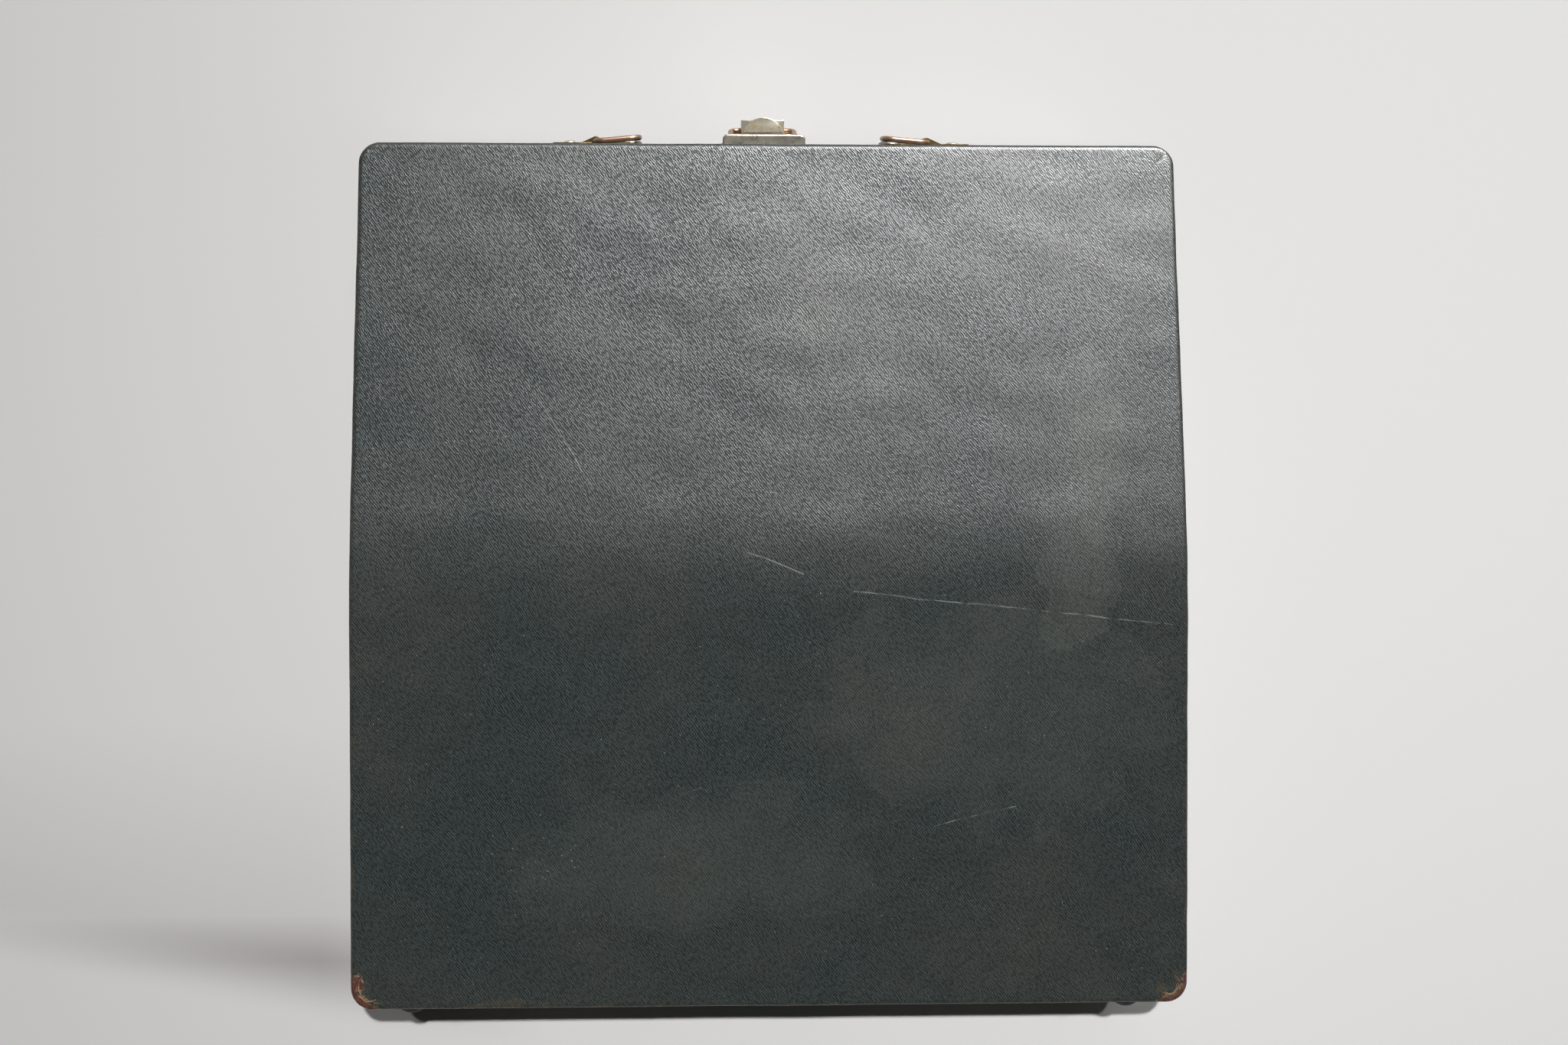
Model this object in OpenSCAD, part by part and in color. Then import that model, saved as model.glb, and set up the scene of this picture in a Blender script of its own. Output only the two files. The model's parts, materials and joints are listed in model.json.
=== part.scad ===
// Portable typewriter in its wooden carrying case, closed, lying on its base feet.
// +X is the typist's right, -Y the front with the latch, +Z up, floor at z = 0.

/* [Case] */
// Width of the case
case_w = 320; // [312:1:340]
// Depth of the case at the lid's top
case_d = 333; // [328:1:350]
// Height of the closed case without its feet
case_h = 158; // [150:1:175]
// Height of the base tray
base_h = 42; // [38:1:46]
// Fall of the lid's top towards the front
lid_drop = 30; // [20:1:34]
// Length of the lid's level top, from the back
lid_flat = 170; // [150:1:190]
// Outward lean of the front wall, in degrees
front_draft = 8.5; // [6:0.5:10]
// Thickness of the wooden walls
wall_t = 7; // [5:0.5:8]
// Thickness of the bottom board
bottom_t = 6; // [5:0.5:8]
// Radius of the upright corners
corner_r = 8; // [5:0.5:12]
// Radius of the lid's top edges
edge_r = 3.5; // [2:0.5:5]
// Radius of the bend across the lid
bend_r = 220; // [120:10:260]
// Gap between the closed lid and the base
seam_gap = 0.4; // [0.3:0.1:0.8]
// Thickness of the cloth lining
lining_t = 1; // [0.6:0.1:1.5]

/* [Case feet] */
// Height of the feet
foot_h = 5; // [4.6:0.1:7]
// Radius of the feet under the base
base_foot_r = 8.5; // [6:0.5:12]
// Radius of the feet on the back walls
back_foot_r = 6; // [5:0.5:8]
// Distance of the back feet from the sides
back_foot_in = 21; // [18:1:40]
// Distance of the back feet from the top and the bottom
back_foot_edge = 15; // [10:1:18]

/* [Hinges] */
// Distance between the middles of the two hinges
hinge_gap = 190; // [140:5:230]
// Width of a hinge
hinge_w = 40; // [30:1:50]
// Height of a hinge leaf
leaf_h = 16; // [12:1:18]
// Thickness of a hinge leaf
leaf_t = 1.2; // [0.8:0.1:1.5]
// Outer radius of a hinge knuckle
knuckle_r = 2.2; // [2:0.1:2.3]
// Radius of a hinge pin
hinge_pin_r = 1.1; // [0.9:0.1:1.3]

/* [Latch] */
// Width of the lever's block
lever_w = 18.5; // [16:0.5:22]
// Width of the box that the bail rests under
keeper_w = 35; // [30:1:42]
// Height of that box
keeper_h = 12; // [10:1:16]
// How far that box stands out
keeper_out = 4.6; // [4:0.1:5]
// How far the thumb lug stands out
lug_out = 11.9; // [10.8:0.1:13]
// Radius of the thumb lug's rim
lug_r = 9; // [8.4:0.1:9.6]
// Radius of the bail's wire
bail_r = 1.2; // [1:0.1:1.4]

/* [Handle fittings] */
// Distance between the two loops' hinge lines
handle_gap = 146; // [130:1:170]
// Length of a loop's base plate
plate_w = 38; // [34:1:44]
// Height of a loop's base plate
plate_h = 9; // [8:0.5:10]
// Thickness of the plates on the front wall
plate_t = 1; // [0.8:0.1:1.2]
// Radius of the loops' wire
loop_wire_r = 1.2; // [1:0.1:1.4]
// Length of a loop from its hinge line
loop_l = 19; // [17:1:24]
// Half the height of a loop
loop_half_h = 9.5; // [9.5:0.5:11]
// Lift of a loop's free end at rest, in degrees
loop_lift = 5; // [5:1:14]

/* [Machine] */
// Width over the machine's side plates
frame_w = 254; // [250:1:258]
// Thickness of the side plates
frame_t = 3; // [2:0.5:4]
// Width over the painted body
shell_w = 264; // [262:1:268]
// Thickness of the painted body's sheet
shell_t = 1.2; // [1:0.1:1.5]
// Height of the rubber bushes under the machine
bush_h = 8; // [7:0.5:10]
// Radius of those bushes
bush_r = 5; // [4.5:0.1:5.3]
// Radius of the screws that hold the machine down
screw_r = 2; // [1.5:0.1:2.5]

/* [Keyboard] */
// Distance between keys in a row
key_pitch = 19; // [18:0.5:20]
// Distance from row to row
row_pitch = 18.5; // [18:0.5:19.5]
// Rise from row to row
row_rise = 9; // [7:0.5:10]
// Keys in a row
columns = 11; // [9:1:11]
// Radius of a key top
key_r = 6.8; // [6:0.1:7.5]
// Height of a key top
key_h = 4.2; // [3.5:0.1:5]
// Thickness of a key lever
lever_t = 1.2; // [1:0.1:1.4]

/* [Type basket] */
// Length of a type bar from its pivot
bar_l = 62; // [60:1:64]
// Radius of the pivots' arc
segment_r = 38; // [37:0.5:39]
// Angle that the basket spans, in degrees
basket_span = 130; // [126:1:134]
// Rise of the resting bars from the segment's plane, in degrees
rest_rise = 30; // [28:1:32]
// Thickness of a type bar
bar_t = 1.1; // [1:0.05:1.2]

/* [Ribbon] */
// Radius of a ribbon spool
spool_r = 19; // [17:0.5:20]
// Width of the ribbon
ribbon_w = 12.7; // [12:0.1:13]

/* [Carriage] */
// Radius of the platen
platen_r = 16; // [15:0.1:17]
// Length of the platen
platen_l = 224; // [214:1:226]
// Radius of the platen's shaft
shaft_r = 4; // [3:0.1:5]
// Radius of the platen knobs
knob_r = 13; // [11:0.5:14]
// Thickness of the platen knobs
knob_t = 9; // [8:0.5:9.5]
// Radius of the carriage rails
rail_r = 3; // [2.5:0.1:3.5]

/* [Hidden] */
$fn = 48;
run = 0.05;
clear = 0.3;
big = 600;

// Case: heights, back plane and front plane
top_z = foot_h + case_h;
seam_z = foot_h + base_h;
floor_z = foot_h + bottom_t;
front_top_z = top_z - lid_drop;
lean = tan(front_draft);
seam_out = (front_top_z - seam_z) * lean;
back_y = (case_d + seam_out + lug_out * cos(front_draft) - foot_h) / 2;
front_top_y = back_y - case_d;
front_top = [front_top_y, front_top_z];
front_up = [sin(front_draft), cos(front_draft)];
slope_angle = atan(lid_drop / (case_d - lid_flat));
slope_up = [cos(slope_angle), sin(slope_angle)];

// Hinges and latch: places on the back and front walls
hinge_y = back_y + knuckle_r + 0.1;
hinge_z = seam_z + seam_gap / 2;
knuckles = 5;
knuckle_w = hinge_w / knuckles;
ear_t = 2;
ear_x = lever_w / 2 + clear;
latch_pin_r = 1.5;
pin_at = [-22, plate_t + 3];
lever_back = plate_t + 1.2;
bail_at = [-12, lever_back + 4];
bail_top = [6, bail_r + 1.5];
bail_x = lever_w / 2 + 4.5;
bail_boss = 2.4;
bail_bend = 3;
keeper_v = bail_top[0] + bail_r + 0.7;
lug_t = 2.4;
lug_chord = 5.4;
block_out = lug_out - 1.2;
block_l = 15;
strap_t = 4;

// Handle fittings
handle_v = -base_h / 2;
rivet_x = [plate_w / 2 - 7.5, 3.5 - plate_w / 2];
rivet_r = 1.5;
rivet_head_r = 2.8;
rivet_head_h = 0.9;
rivet_deep = 5;
rod_w = loop_wire_r + run + 0.3;
ear_r = loop_wire_r + 0.9;
ear_h = 8;
ear_foot = 6.5;
loop_corner_r = 4;

// Machine: its own origin lies under the middle of the case, on the lining
machine_y = back_y - 173.8;
machine_z = floor_z + lining_t;
side_x = frame_w / 2 - frame_t;
bush_x = frame_w / 2 - 6.5;
bush_y = [-128, 112];
frame_z = bush_h;
frame_front = -136;
frame_back = 131;
shell_front = -152;
shell_back = 145;
shell_top = 104;
deck_z = 70;
plate_top = 78;
selector_at = [side_x + 4.9, -6, 66];
selector_pin_r = 2;
cover_pin = [40, 92];
cover_pin_r = 1.5;
stay_at = [[-100, 16], [100, 34]];
stay_r = 3;

// Keyboard
rows = 4;
front_row_y = -122;
front_row_z = 44;
lever_low = 12;
lever_high = 18;
lever_pin = [84, 15];
lever_pin_r = 1.5;
keys = rows * columns;
lever_gap = key_pitch / rows;
comb_y = -46;
home_row = 1;
key_post_y = 5;
left_key = [home_row, 3];
right_key = [home_row, columns - 4];
moving = [left_key, right_key];
side_key_x = 112;
side_out = 122;
space_arm_x = 105.5;
shift_x = [-111.5, 110];
shift_lock_x = -114.5;
margin_x = -108.5;
backspace_x = 114;
side_levers = concat(shift_x, [-space_arm_x, space_arm_x, shift_lock_x, margin_x, backspace_x]);

// Type basket: the pivots' arc, seen from the side
platen_at = [78, 100];
bar_tip = [platen_at[0] - platen_r - 5.5, platen_at[1]];
strike_h = sqrt(bar_l * bar_l - segment_r * segment_r);
tilt = atan(segment_r / strike_h);
arc_at = [bar_tip[0] + strike_h * sin(tilt), bar_tip[1] - strike_h * cos(tilt)];
bar_step = basket_span / (keys - 1);
slot_w = bar_t + 0.2;
pivot_r = 2;

// Ribbon
spool_at = [86, 8, 78];
spool_h = ribbon_w + 1.8;
spool_hub_r = 5;
spool_pin_r = 2;
wound_r = 13;
ribbon_y = bar_tip[0] + 3.3;
ribbon_z = spool_at[2] + 0.9;
ribbon_t = 0.3;

// Carriage
end_t = 4;
end_x = platen_l / 2 + 5;
carriage_w = 2 * (end_x + end_t);
rail_y = [platen_at[0] + 24, platen_at[0] + 42];
rail_z = 74;
bed_z = rail_z + rail_r + 2;
bed_t = 3;
knob_x = carriage_w / 2 + 1;
roller_r = 4;
roller_pin_r = 1.5;
roller_at = [platen_at[0] - 8, platen_at[1] - sqrt(pow(platen_r + roller_r + clear, 2) - 64)];
bail_rod_r = 1.5;
bail_pin_r = 1.5;
paper_bail_pin = [platen_at[0] + 8, platen_at[1] + 14];
paper_bail_rod = [platen_at[0] - 12, platen_at[1] + 15.1];
space_lever_at = [-end_x - end_t / 2, platen_at[0] + 6, platen_at[1] + 27];
stud_r = 1.8;
release_pin = [platen_at[0] + 22, platen_at[1] + 6];
stop_y = platen_at[0] + 50;
stop_z = bed_z + bed_t + 4;
drum_at = [-92, frame_back + clear, 34];
drum_r = 16;
drum_pin_r = 3;
stop_bar = [3, 4];

// Geometry helpers

// Where the line through p along u meets the line through q along v
function meet(p, u, q, v) = p + u * cross(q - p, v) / cross(u, v);

function unit(v) = v / norm(v);

// Outer face of the front wall at height z
function front_y(z) = front_top_y - (front_top_z - z) * lean;

// Side view of the case, drawn in by t on every side, from height z up
function side_points(t, z) = let (
    on_slope = front_top + t * [slope_up[1], -slope_up[0]],
    on_front = front_top + t * [front_up[1], -front_up[0]]
) [
    [back_y - t, z],
    [back_y - t, top_z - t],
    meet(on_slope, slope_up, [0, top_z - t], [1, 0]),
    meet(on_slope, slope_up, on_front, front_up),
    meet(on_front, front_up, [0, z], [1, 0])
];

// Cuts the corner p of a flat shape round; its sides run towards a and b
module round_off(a, p, b, r) {
    u = unit(a - p);
    v = unit(b - p);
    half = acos(u * v) / 2;
    mid = p + unit(u + v) * r / sin(half);
    out = -unit(u + v) * r;
    difference() {
        children();
        difference() {
            polygon([p + u * r / tan(half), p + u * r / tan(half) + out, p + out * 2,
                p + v * r / tan(half) + out, p + v * r / tan(half), mid]);
            translate(mid) circle(r, $fn = 96);
        }
    }
}

// A flat shape drawn in (y, z) and carried along x, centred
module along_x(w) {
    rotate([90, 0, 90]) linear_extrude(w, center = true) children();
}

// A strip w wide, l long, its far corners rounded, running from y = 0
module round_strip(w, l, r) {
    round_off([0, 0], [w / 2, 0], [w / 2, -l], r)
        round_off([0, 0], [-w / 2, 0], [-w / 2, -l], r)
            translate([-w / 2, -l]) square([w, l]);
}

// Moves children to the front wall at the seam: x, then up the wall, then outwards
module on_front() {
    translate([0, front_y(seam_z), seam_z]) rotate([90 - front_draft, 0, 0]) children();
}

module in_case() {
    translate([0, machine_y, machine_z]) children();
}

module slab(z0, z1) {
    translate([-big / 2, -big / 2, z0]) cube([big, big, z1 - z0]);
}

// Case

module case_form() {
    side = side_points(0, 0);
    intersection() {
        along_x(case_w)
            round_off(side[0], side[1], side[2], edge_r)
                round_off(side[1], side[2], side[3], bend_r)
                    round_off(side[2], side[3], side[4], edge_r)
                        polygon(side);
        translate([0, back_y, 0]) linear_extrude(big) round_strip(case_w, big, corner_r);
        translate([0, front_top_y, front_top_z]) rotate([-front_draft, 0, 0])
            linear_extrude(big, center = true)
                rotate(180) round_strip(case_w, big, corner_r);
        translate([0, 0, top_z]) rotate([90, 0, 0]) linear_extrude(big * 2, center = true)
            round_strip(case_w, top_z, edge_r);
        translate([0, front_top_y, front_top_z]) rotate([90 + slope_angle, 0, 0])
            linear_extrude(big * 2, center = true) round_strip(case_w, big, edge_r);
    }
}

module case_hollow(t, z) {
    along_x(case_w - 2 * t) polygon(side_points(t, z));
}

module screw_places() {
    for (x = [-bush_x, bush_x], y = bush_y) in_case() translate([x, y, 0]) children();
}

module rivet_places() {
    on_front() {
        for (s = [-1, 1], x = rivet_x)
            translate([s * (handle_gap / 2 + x), handle_v, 0]) children();
        for (s = [-1, 1]) translate([s * 5, pin_at[0] + 8, 0]) children();
    }
}

module base_tray() {
    color("darkslategray") difference() {
        intersection() {
            case_form();
            slab(foot_h, seam_z);
        }
        case_hollow(wall_t, floor_z);
        screw_places() translate([0, 0, -bottom_t - lining_t - 1])
            cylinder(r = screw_r + run, h = bottom_t + lining_t + 2);
        screw_places() translate([0, 0, -bottom_t - lining_t - 1])
            cylinder(r = 2 * screw_r + run, h = 3);
        rivet_places() translate([0, 0, -rivet_deep]) cylinder(r = rivet_r + run, h = rivet_deep + 1);
    }
}

module base_lining() {
    color("dimgray") difference() {
        intersection() {
            case_hollow(wall_t + 0.1, floor_z);
            slab(floor_z, floor_z + lining_t);
        }
        screw_places() translate([0, 0, -lining_t - 1]) cylinder(r = screw_r + run, h = lining_t + 2);
    }
}

module lid_shell() {
    color("darkslategray") difference() {
        intersection() {
            case_form();
            slab(seam_z + seam_gap, top_z + 1);
        }
        case_hollow(wall_t, 0);
    }
}

module lid_lining() {
    color("dimgray") difference() {
        intersection() {
            case_hollow(wall_t, 0);
            slab(seam_z + 2, top_z);
        }
        case_hollow(wall_t + lining_t, -1);
    }
}

// A foot whose face is domed, standing up from z = 0
module domed_foot(r, h) {
    rim = 0.3 * h;
    ball = (r * r + pow(h - rim, 2)) / (2 * (h - rim));
    rotate_extrude() intersection() {
        square([r, h]);
        translate([0, h - ball]) circle(ball, $fn = 96);
    }
}

module back_feet(z) {
    for (s = [-1, 1]) translate([s * (case_w / 2 - back_foot_in), back_y, z])
        rotate([-90, 0, 0]) domed_foot(back_foot_r, foot_h);
}

module lid_back_feet() {
    color("black") back_feet(top_z - back_foot_edge);
}

module base_back_feet() {
    color("black") back_feet(foot_h + back_foot_edge);
}

module base_feet() {
    color("black") for (s = [-1, 1], y = [front_y(foot_h) + 34, back_y - 26])
        translate([s * (case_w / 2 - 30), y, 0])
            cylinder(r1 = base_foot_r - 1.5, r2 = base_foot_r, h = foot_h);
}

// Hinges

module hinge_leaf(dir, own) {
    for (s = [-1, 1]) translate([s * hinge_gap / 2, hinge_y, hinge_z]) difference() {
        union() {
            translate([-hinge_w / 2, -knuckle_r - 0.1, dir > 0 ? knuckle_r + clear : -leaf_h])
                cube([hinge_w, leaf_t, leaf_h - knuckle_r - clear]);
            for (i = own) translate([-hinge_w / 2 + i * knuckle_w + clear / 2, 0, 0]) {
                rotate([0, 90, 0]) cylinder(r = knuckle_r, h = knuckle_w - clear);
                translate([0, -knuckle_r - 0.1, dir > 0 ? 0 : -knuckle_r - clear - 1])
                    cube([knuckle_w - clear, leaf_t, knuckle_r + clear + 1]);
            }
        }
        translate([-hinge_w, 0, 0]) rotate([0, 90, 0])
            cylinder(r = hinge_pin_r + run, h = 2 * hinge_w);
    }
}

module hinge_leaves_base() {
    color("silver") hinge_leaf(-1, [0, 2, 4]);
}

module hinge_leaves_lid() {
    color("silver") hinge_leaf(1, [1, 3]);
}

module hinge_pins() {
    color("gray") for (s = [-1, 1]) translate([s * hinge_gap / 2, hinge_y, hinge_z])
        rotate([0, 90, 0]) cylinder(r = hinge_pin_r, h = hinge_w, center = true);
}

// Latch

module latch_ear(x) {
    translate([x, 0, 0]) rotate([90, 0, 90]) linear_extrude(ear_t) {
        translate(pin_at) circle(3.6);
        translate([pin_at[0] - 3.6, 0]) square([7.2, pin_at[1]]);
    }
}

module latch_plate() {
    color("silver") on_front() difference() {
        union() {
            translate([-keeper_w / 2, pin_at[0] - 6, 0]) cube([keeper_w, -pin_at[0] + 4, plate_t]);
            latch_ear(ear_x);
            latch_ear(-ear_x - ear_t);
        }
        translate([0, pin_at[0], pin_at[1]]) rotate([0, 90, 0])
            cylinder(r = latch_pin_r + run, h = big, center = true);
        for (s = [-1, 1]) translate([s * 5, pin_at[0] + 8, -1]) cylinder(r = rivet_r + run, h = 4);
    }
}

module latch_pin() {
    color("gray") on_front() translate([0, pin_at[0], pin_at[1]]) rotate([0, 90, 0]) {
        cylinder(r = latch_pin_r, h = 2 * (ear_x + ear_t + 0.1), center = true);
        for (s = [-1, 1]) translate([0, 0, s * (ear_x + ear_t + 0.5)])
            cylinder(r = latch_pin_r + 0.8, h = 0.8, center = true);
    }
}

module latch_lever() {
    color("silver") on_front() difference() {
        union() {
            rotate([90, 0, 90]) linear_extrude(lever_w, center = true) {
                translate(pin_at) circle(2.6);
                translate([pin_at[0], lever_back]) square([-pin_at[0] - lug_t / 2, strap_t]);
                translate([-block_l, lever_back]) square([block_l - lug_t / 2, block_out - lever_back]);
            }
            translate([0, lug_t / 2, 0]) rotate([90, 0, 0]) linear_extrude(lug_t) intersection() {
                translate([0, lug_out - lug_r]) circle(lug_r, $fn = 96);
                translate([-lug_r, lug_chord]) square([2 * lug_r, lug_out]);
            }
        }
        translate([0, pin_at[0], pin_at[1]]) rotate([0, 90, 0])
            cylinder(r = latch_pin_r + run, h = big, center = true);
        for (s = [-1, 1]) translate([s * lever_w / 2, bail_at[0], bail_at[1]]) rotate([0, 90, 0])
            cylinder(r = bail_r + run, h = 2 * (bail_boss + 0.2), center = true);
    }
}

module latch_bail() {
    leg = [bail_top[0] - bail_at[0], bail_at[1] - bail_top[1]];
    side = bail_x - bail_bend;
    color("sienna") on_front() translate([0, bail_at[0], bail_at[1]])
        rotate([-atan2(leg[1], leg[0]), 0, 0]) {
            for (s = [-1, 1]) {
                translate([s * (lever_w / 2 - bail_boss + side) / 2, 0, 0]) rotate([0, 90, 0])
                    cylinder(r = bail_r, h = side - lever_w / 2 + bail_boss, center = true);
                translate([s * bail_x, bail_bend, 0]) rotate([-90, 0, 0])
                    cylinder(r = bail_r, h = norm(leg) - 2 * bail_bend);
                for (end = [0, 1])
                    translate([s * side, end ? norm(leg) - bail_bend : bail_bend, 0])
                        rotate(end ? (s > 0 ? 0 : 90) : (s > 0 ? 270 : 180))
                            rotate_extrude(angle = 90) translate([bail_bend, 0]) circle(bail_r);
            }
            translate([0, norm(leg), 0]) rotate([0, 90, 0])
                cylinder(r = bail_r, h = 2 * side, center = true);
        }
}

module latch_keeper() {
    color("silver") on_front() translate([0, keeper_v + keeper_h, 0]) rotate([90, 0, 0])
        difference() {
            linear_extrude(keeper_h) translate([0, keeper_out]) round_strip(keeper_w, keeper_out, 2.2);
            translate([-keeper_w / 2 + 1.2, -1, 1.2])
                cube([keeper_w - 2.4, keeper_out - 0.2, keeper_h - 2.4]);
        }
}

// Handle fittings

module handle_plates() {
    color("darkkhaki") on_front() for (s = [-1, 1]) translate([s * handle_gap / 2, handle_v, 0])
        difference() {
            union() {
                linear_extrude(plate_t) {
                    square([plate_w - plate_h, plate_h], center = true);
                    for (e = [-1, 1]) translate([e * (plate_w - plate_h) / 2, 0]) circle(d = plate_h);
                }
                translate([0, ear_h / 2, 0]) rotate([90, 0, 0]) linear_extrude(ear_h) {
                    difference() {
                        translate([0, rod_w]) circle(ear_r);
                        translate([-2 * ear_r, -big]) square([4 * ear_r, big]);
                    }
                    translate([-ear_r, 0]) square([2 * ear_r, rod_w]);
                    polygon([[0, 0], [s * ear_foot, 0], [s * ear_foot, plate_t * 0.9],
                        [s * ear_r * 0.6, rod_w + ear_r * 0.8], [0, rod_w + ear_r * 0.8]]);
                }
            }
            translate([0, 0, rod_w]) rotate([90, 0, 0])
                cylinder(r = loop_wire_r + run, h = big, center = true);
            for (x = rivet_x) translate([s * x, 0, -1]) cylinder(r = rivet_r + run, h = 5);
        }
}

module wire_loop() {
    in_l = loop_l - 2 * loop_corner_r;
    in_h = loop_half_h - loop_corner_r;
    for (x = [0, loop_l]) translate([x, 0, 0]) rotate([90, 0, 0])
        cylinder(r = loop_wire_r, h = 2 * in_h, center = true);
    for (y = [-loop_half_h, loop_half_h]) translate([loop_corner_r, y, 0]) rotate([0, 90, 0])
        cylinder(r = loop_wire_r, h = in_l);
    for (c = [[1, 1, 0], [0, 1, 90], [0, 0, 180], [1, 0, 270]])
        translate([loop_corner_r + c[0] * in_l, (2 * c[1] - 1) * in_h, 0]) rotate(c[2])
            rotate_extrude(angle = 90) translate([loop_corner_r, 0]) circle(loop_wire_r);
}

module handle_loop(s) {
    color("saddlebrown") on_front() translate([s * handle_gap / 2, handle_v, rod_w])
        rotate([0, s > 0 ? 180 + loop_lift : -loop_lift, 0]) wire_loop();
}

module handle_loop_left() {
    handle_loop(-1);
}

module handle_loop_right() {
    handle_loop(1);
}

module front_rivets() {
    color("tan") rivet_places() {
        translate([0, 0, plate_t - rivet_deep - 0.9])
            cylinder(r = rivet_r, h = rivet_deep + 1);
        translate([0, 0, plate_t]) domed_foot(rivet_head_r, rivet_head_h);
    }
}

// Machine: frame and body

module machine_frame() {
    h = frame_z;
    shelf_z = spool_at[2] - 6;
    inner_w = 2 * side_x + 2;
    color("dimgray") in_case() difference() {
        union() {
            for (s = [-1, 1]) translate([s * (side_x + frame_t / 2), 0, 0]) along_x(frame_t)
                polygon([[frame_front, h], [frame_back, h], [frame_back, plate_top], [-14, plate_top],
                    [-30, 44], [frame_front, 24]]);
            translate([-inner_w / 2, frame_front, 20]) cube([inner_w, frame_t, 4]);
            translate([-inner_w / 2, frame_back - frame_t, h]) cube([inner_w, frame_t, 42]);
            for (s = [-1, 1], y = bush_y) translate([s > 0 ? bush_x - bush_r : -side_x - 1, y - 10, h])
                cube([side_x + 1 - bush_x + bush_r, 20, 2]);
            for (s = [-1, 1]) translate([s > 0 ? spool_at[0] - 22 : -side_x - 1, -14, shelf_z - frame_t])
                cube([side_x + 23 - spool_at[0], 60, frame_t]);
            in_basket() translate([-inner_w / 2, 4, -12]) cube([inner_w, 40, 3]);
            for (s = [-1, 1]) translate([s * spool_at[0], spool_at[1], shelf_z - 1]) {
                cylinder(r = spool_pin_r, h = spool_at[2] + spool_h - shelf_z + 1);
                cylinder(r = 4, h = spool_at[2] - clear - shelf_z + 1);
            }
            for (s = [-1, 1]) translate([s > 0 ? side_key_x + clear : -side_key_x - clear - frame_t,
                cover_pin[0] - 5, shelf_z - 1]) cube([frame_t, 10, cover_pin[1] + 6 - shelf_z]);
            for (s = [-1, 1], at = stay_at) translate([s * (side_x + 1), at[0], at[1]])
                rotate([0, s * 90, 0]) cylinder(r = stay_r, h = shell_w / 2 - shell_t - side_x - 1);
        }
        for (x = [-bush_x, bush_x], y = bush_y) translate([x, y, h - 1])
            cylinder(r = screw_r + run, h = 8);
        for (y = rail_y) translate([0, y, rail_z]) rotate([0, 90, 0])
            cylinder(r = rail_r + run, h = big, center = true);
        for (at = [[lever_pin, lever_pin_r], [cover_pin, cover_pin_r]])
            translate([0, at[0][0], at[0][1]]) rotate([0, 90, 0])
                cylinder(r = at[1] + run, h = big, center = true);
        translate([selector_at[0], selector_at[1], selector_at[2]]) rotate([0, -90, 0])
            cylinder(r = selector_pin_r + run, h = 8);
        translate([drum_at[0], frame_back + 1, drum_at[2]]) rotate([90, 0, 0])
            cylinder(r = drum_pin_r + run, h = 8);
    }
}

module machine_bushes() {
    color("black") screw_places() rotate_extrude() difference() {
        square([bush_r, bush_h]);
        translate([-1, -1]) square([screw_r + run + 1, bush_h + 2]);
        translate([bush_r + 1.5, bush_h / 2]) circle(2.5);
    }
}

module machine_screws() {
    color("gray") screw_places() {
        translate([0, 0, -lining_t - bottom_t + 2 - 1.8]) cylinder(r = 2 * screw_r, h = 1.8);
        translate([0, 0, -lining_t - bottom_t + 1]) cylinder(r = screw_r, h = lining_t + bottom_t + bush_h + 4);
        translate([0, 0, bush_h + 2]) cylinder(r = 1.7 * screw_r, h = 2);
    }
}

function shell_points(t) = [
    [shell_front + t, 2], [shell_front + t, 24], [-146 + t, 30 - t], [-58 + t / 2, 74 - t],
    [-53 + t, 98 - t], [-20, shell_top - t], [44 - t, shell_top - t], [46 - t, deck_z - t],
    [shell_back - t, deck_z - t], [shell_back - t, 2]
];

module body_shell() {
    color("darkslategray") in_case() difference() {
        along_x(shell_w) polygon(shell_points(0));
        along_x(shell_w - 2 * shell_t) polygon(concat(shell_points(shell_t), [[shell_back - shell_t, 1], [shell_front + 2, 1]]));
        slab(-1, 4);
        translate([-side_key_x - 12, shell_front + 3, 20]) cube([2 * side_key_x + 24, 91, 70]);
        translate([-side_key_x, -59, 60]) cube([2 * side_key_x, 110, 60]);
        translate([-frame_w / 2 - 1.5, 43, 60]) cube([frame_w + 3, shell_back - 50, 60]);
        translate([selector_at[0] - 2, -24, 80]) cube([3.4, 36, 40]);
    }
}

module ribbon_cover() {
    w = 2 * side_key_x - 1;
    skin = [[-57, 72], [-52, 96.5], [-20, 102.4], [40, 102.4], [40, 101.2], [-20, 101.2],
        [-51, 95.6], [-55.8, 72]];
    color("darkslategray") in_case() difference() {
        union() {
            along_x(w) polygon(skin);
            for (s = [-1, 1]) translate([s * (w / 2 - 0.6), 0, 0]) along_x(1.2)
                polygon([[-51, 95], [-20, 101.6], [40, 101.6], [43, 95], [43, 89], [-45, 89]]);
            for (s = [-1, 1]) translate([s * (side_key_x + 1.5), cover_pin[0], cover_pin[1]])
                rotate([0, 90, 0]) cylinder(r = cover_pin_r, h = 5, center = true);
        }
        translate([-45, 0, 80]) cube([90, 60, 40]);
    }
}

// Keyboard

function key_x(row, column) =
    (column - (columns - 1) / 2) * key_pitch + (row - (rows - 1) / 2) * lever_gap;
function key_y(row) = front_row_y + row * row_pitch;
function key_z(row) = front_row_z + row * row_rise;
// Where the free room beside a row begins, left (-1) or right (1)
function row_end(row, s) = key_x(row, s < 0 ? 0 : columns - 1) + s * (key_r + 1.5);
function fixed_key(row, column) = len([for (m = moving) if (m == [row, column]) 1]) == 0;

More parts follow.
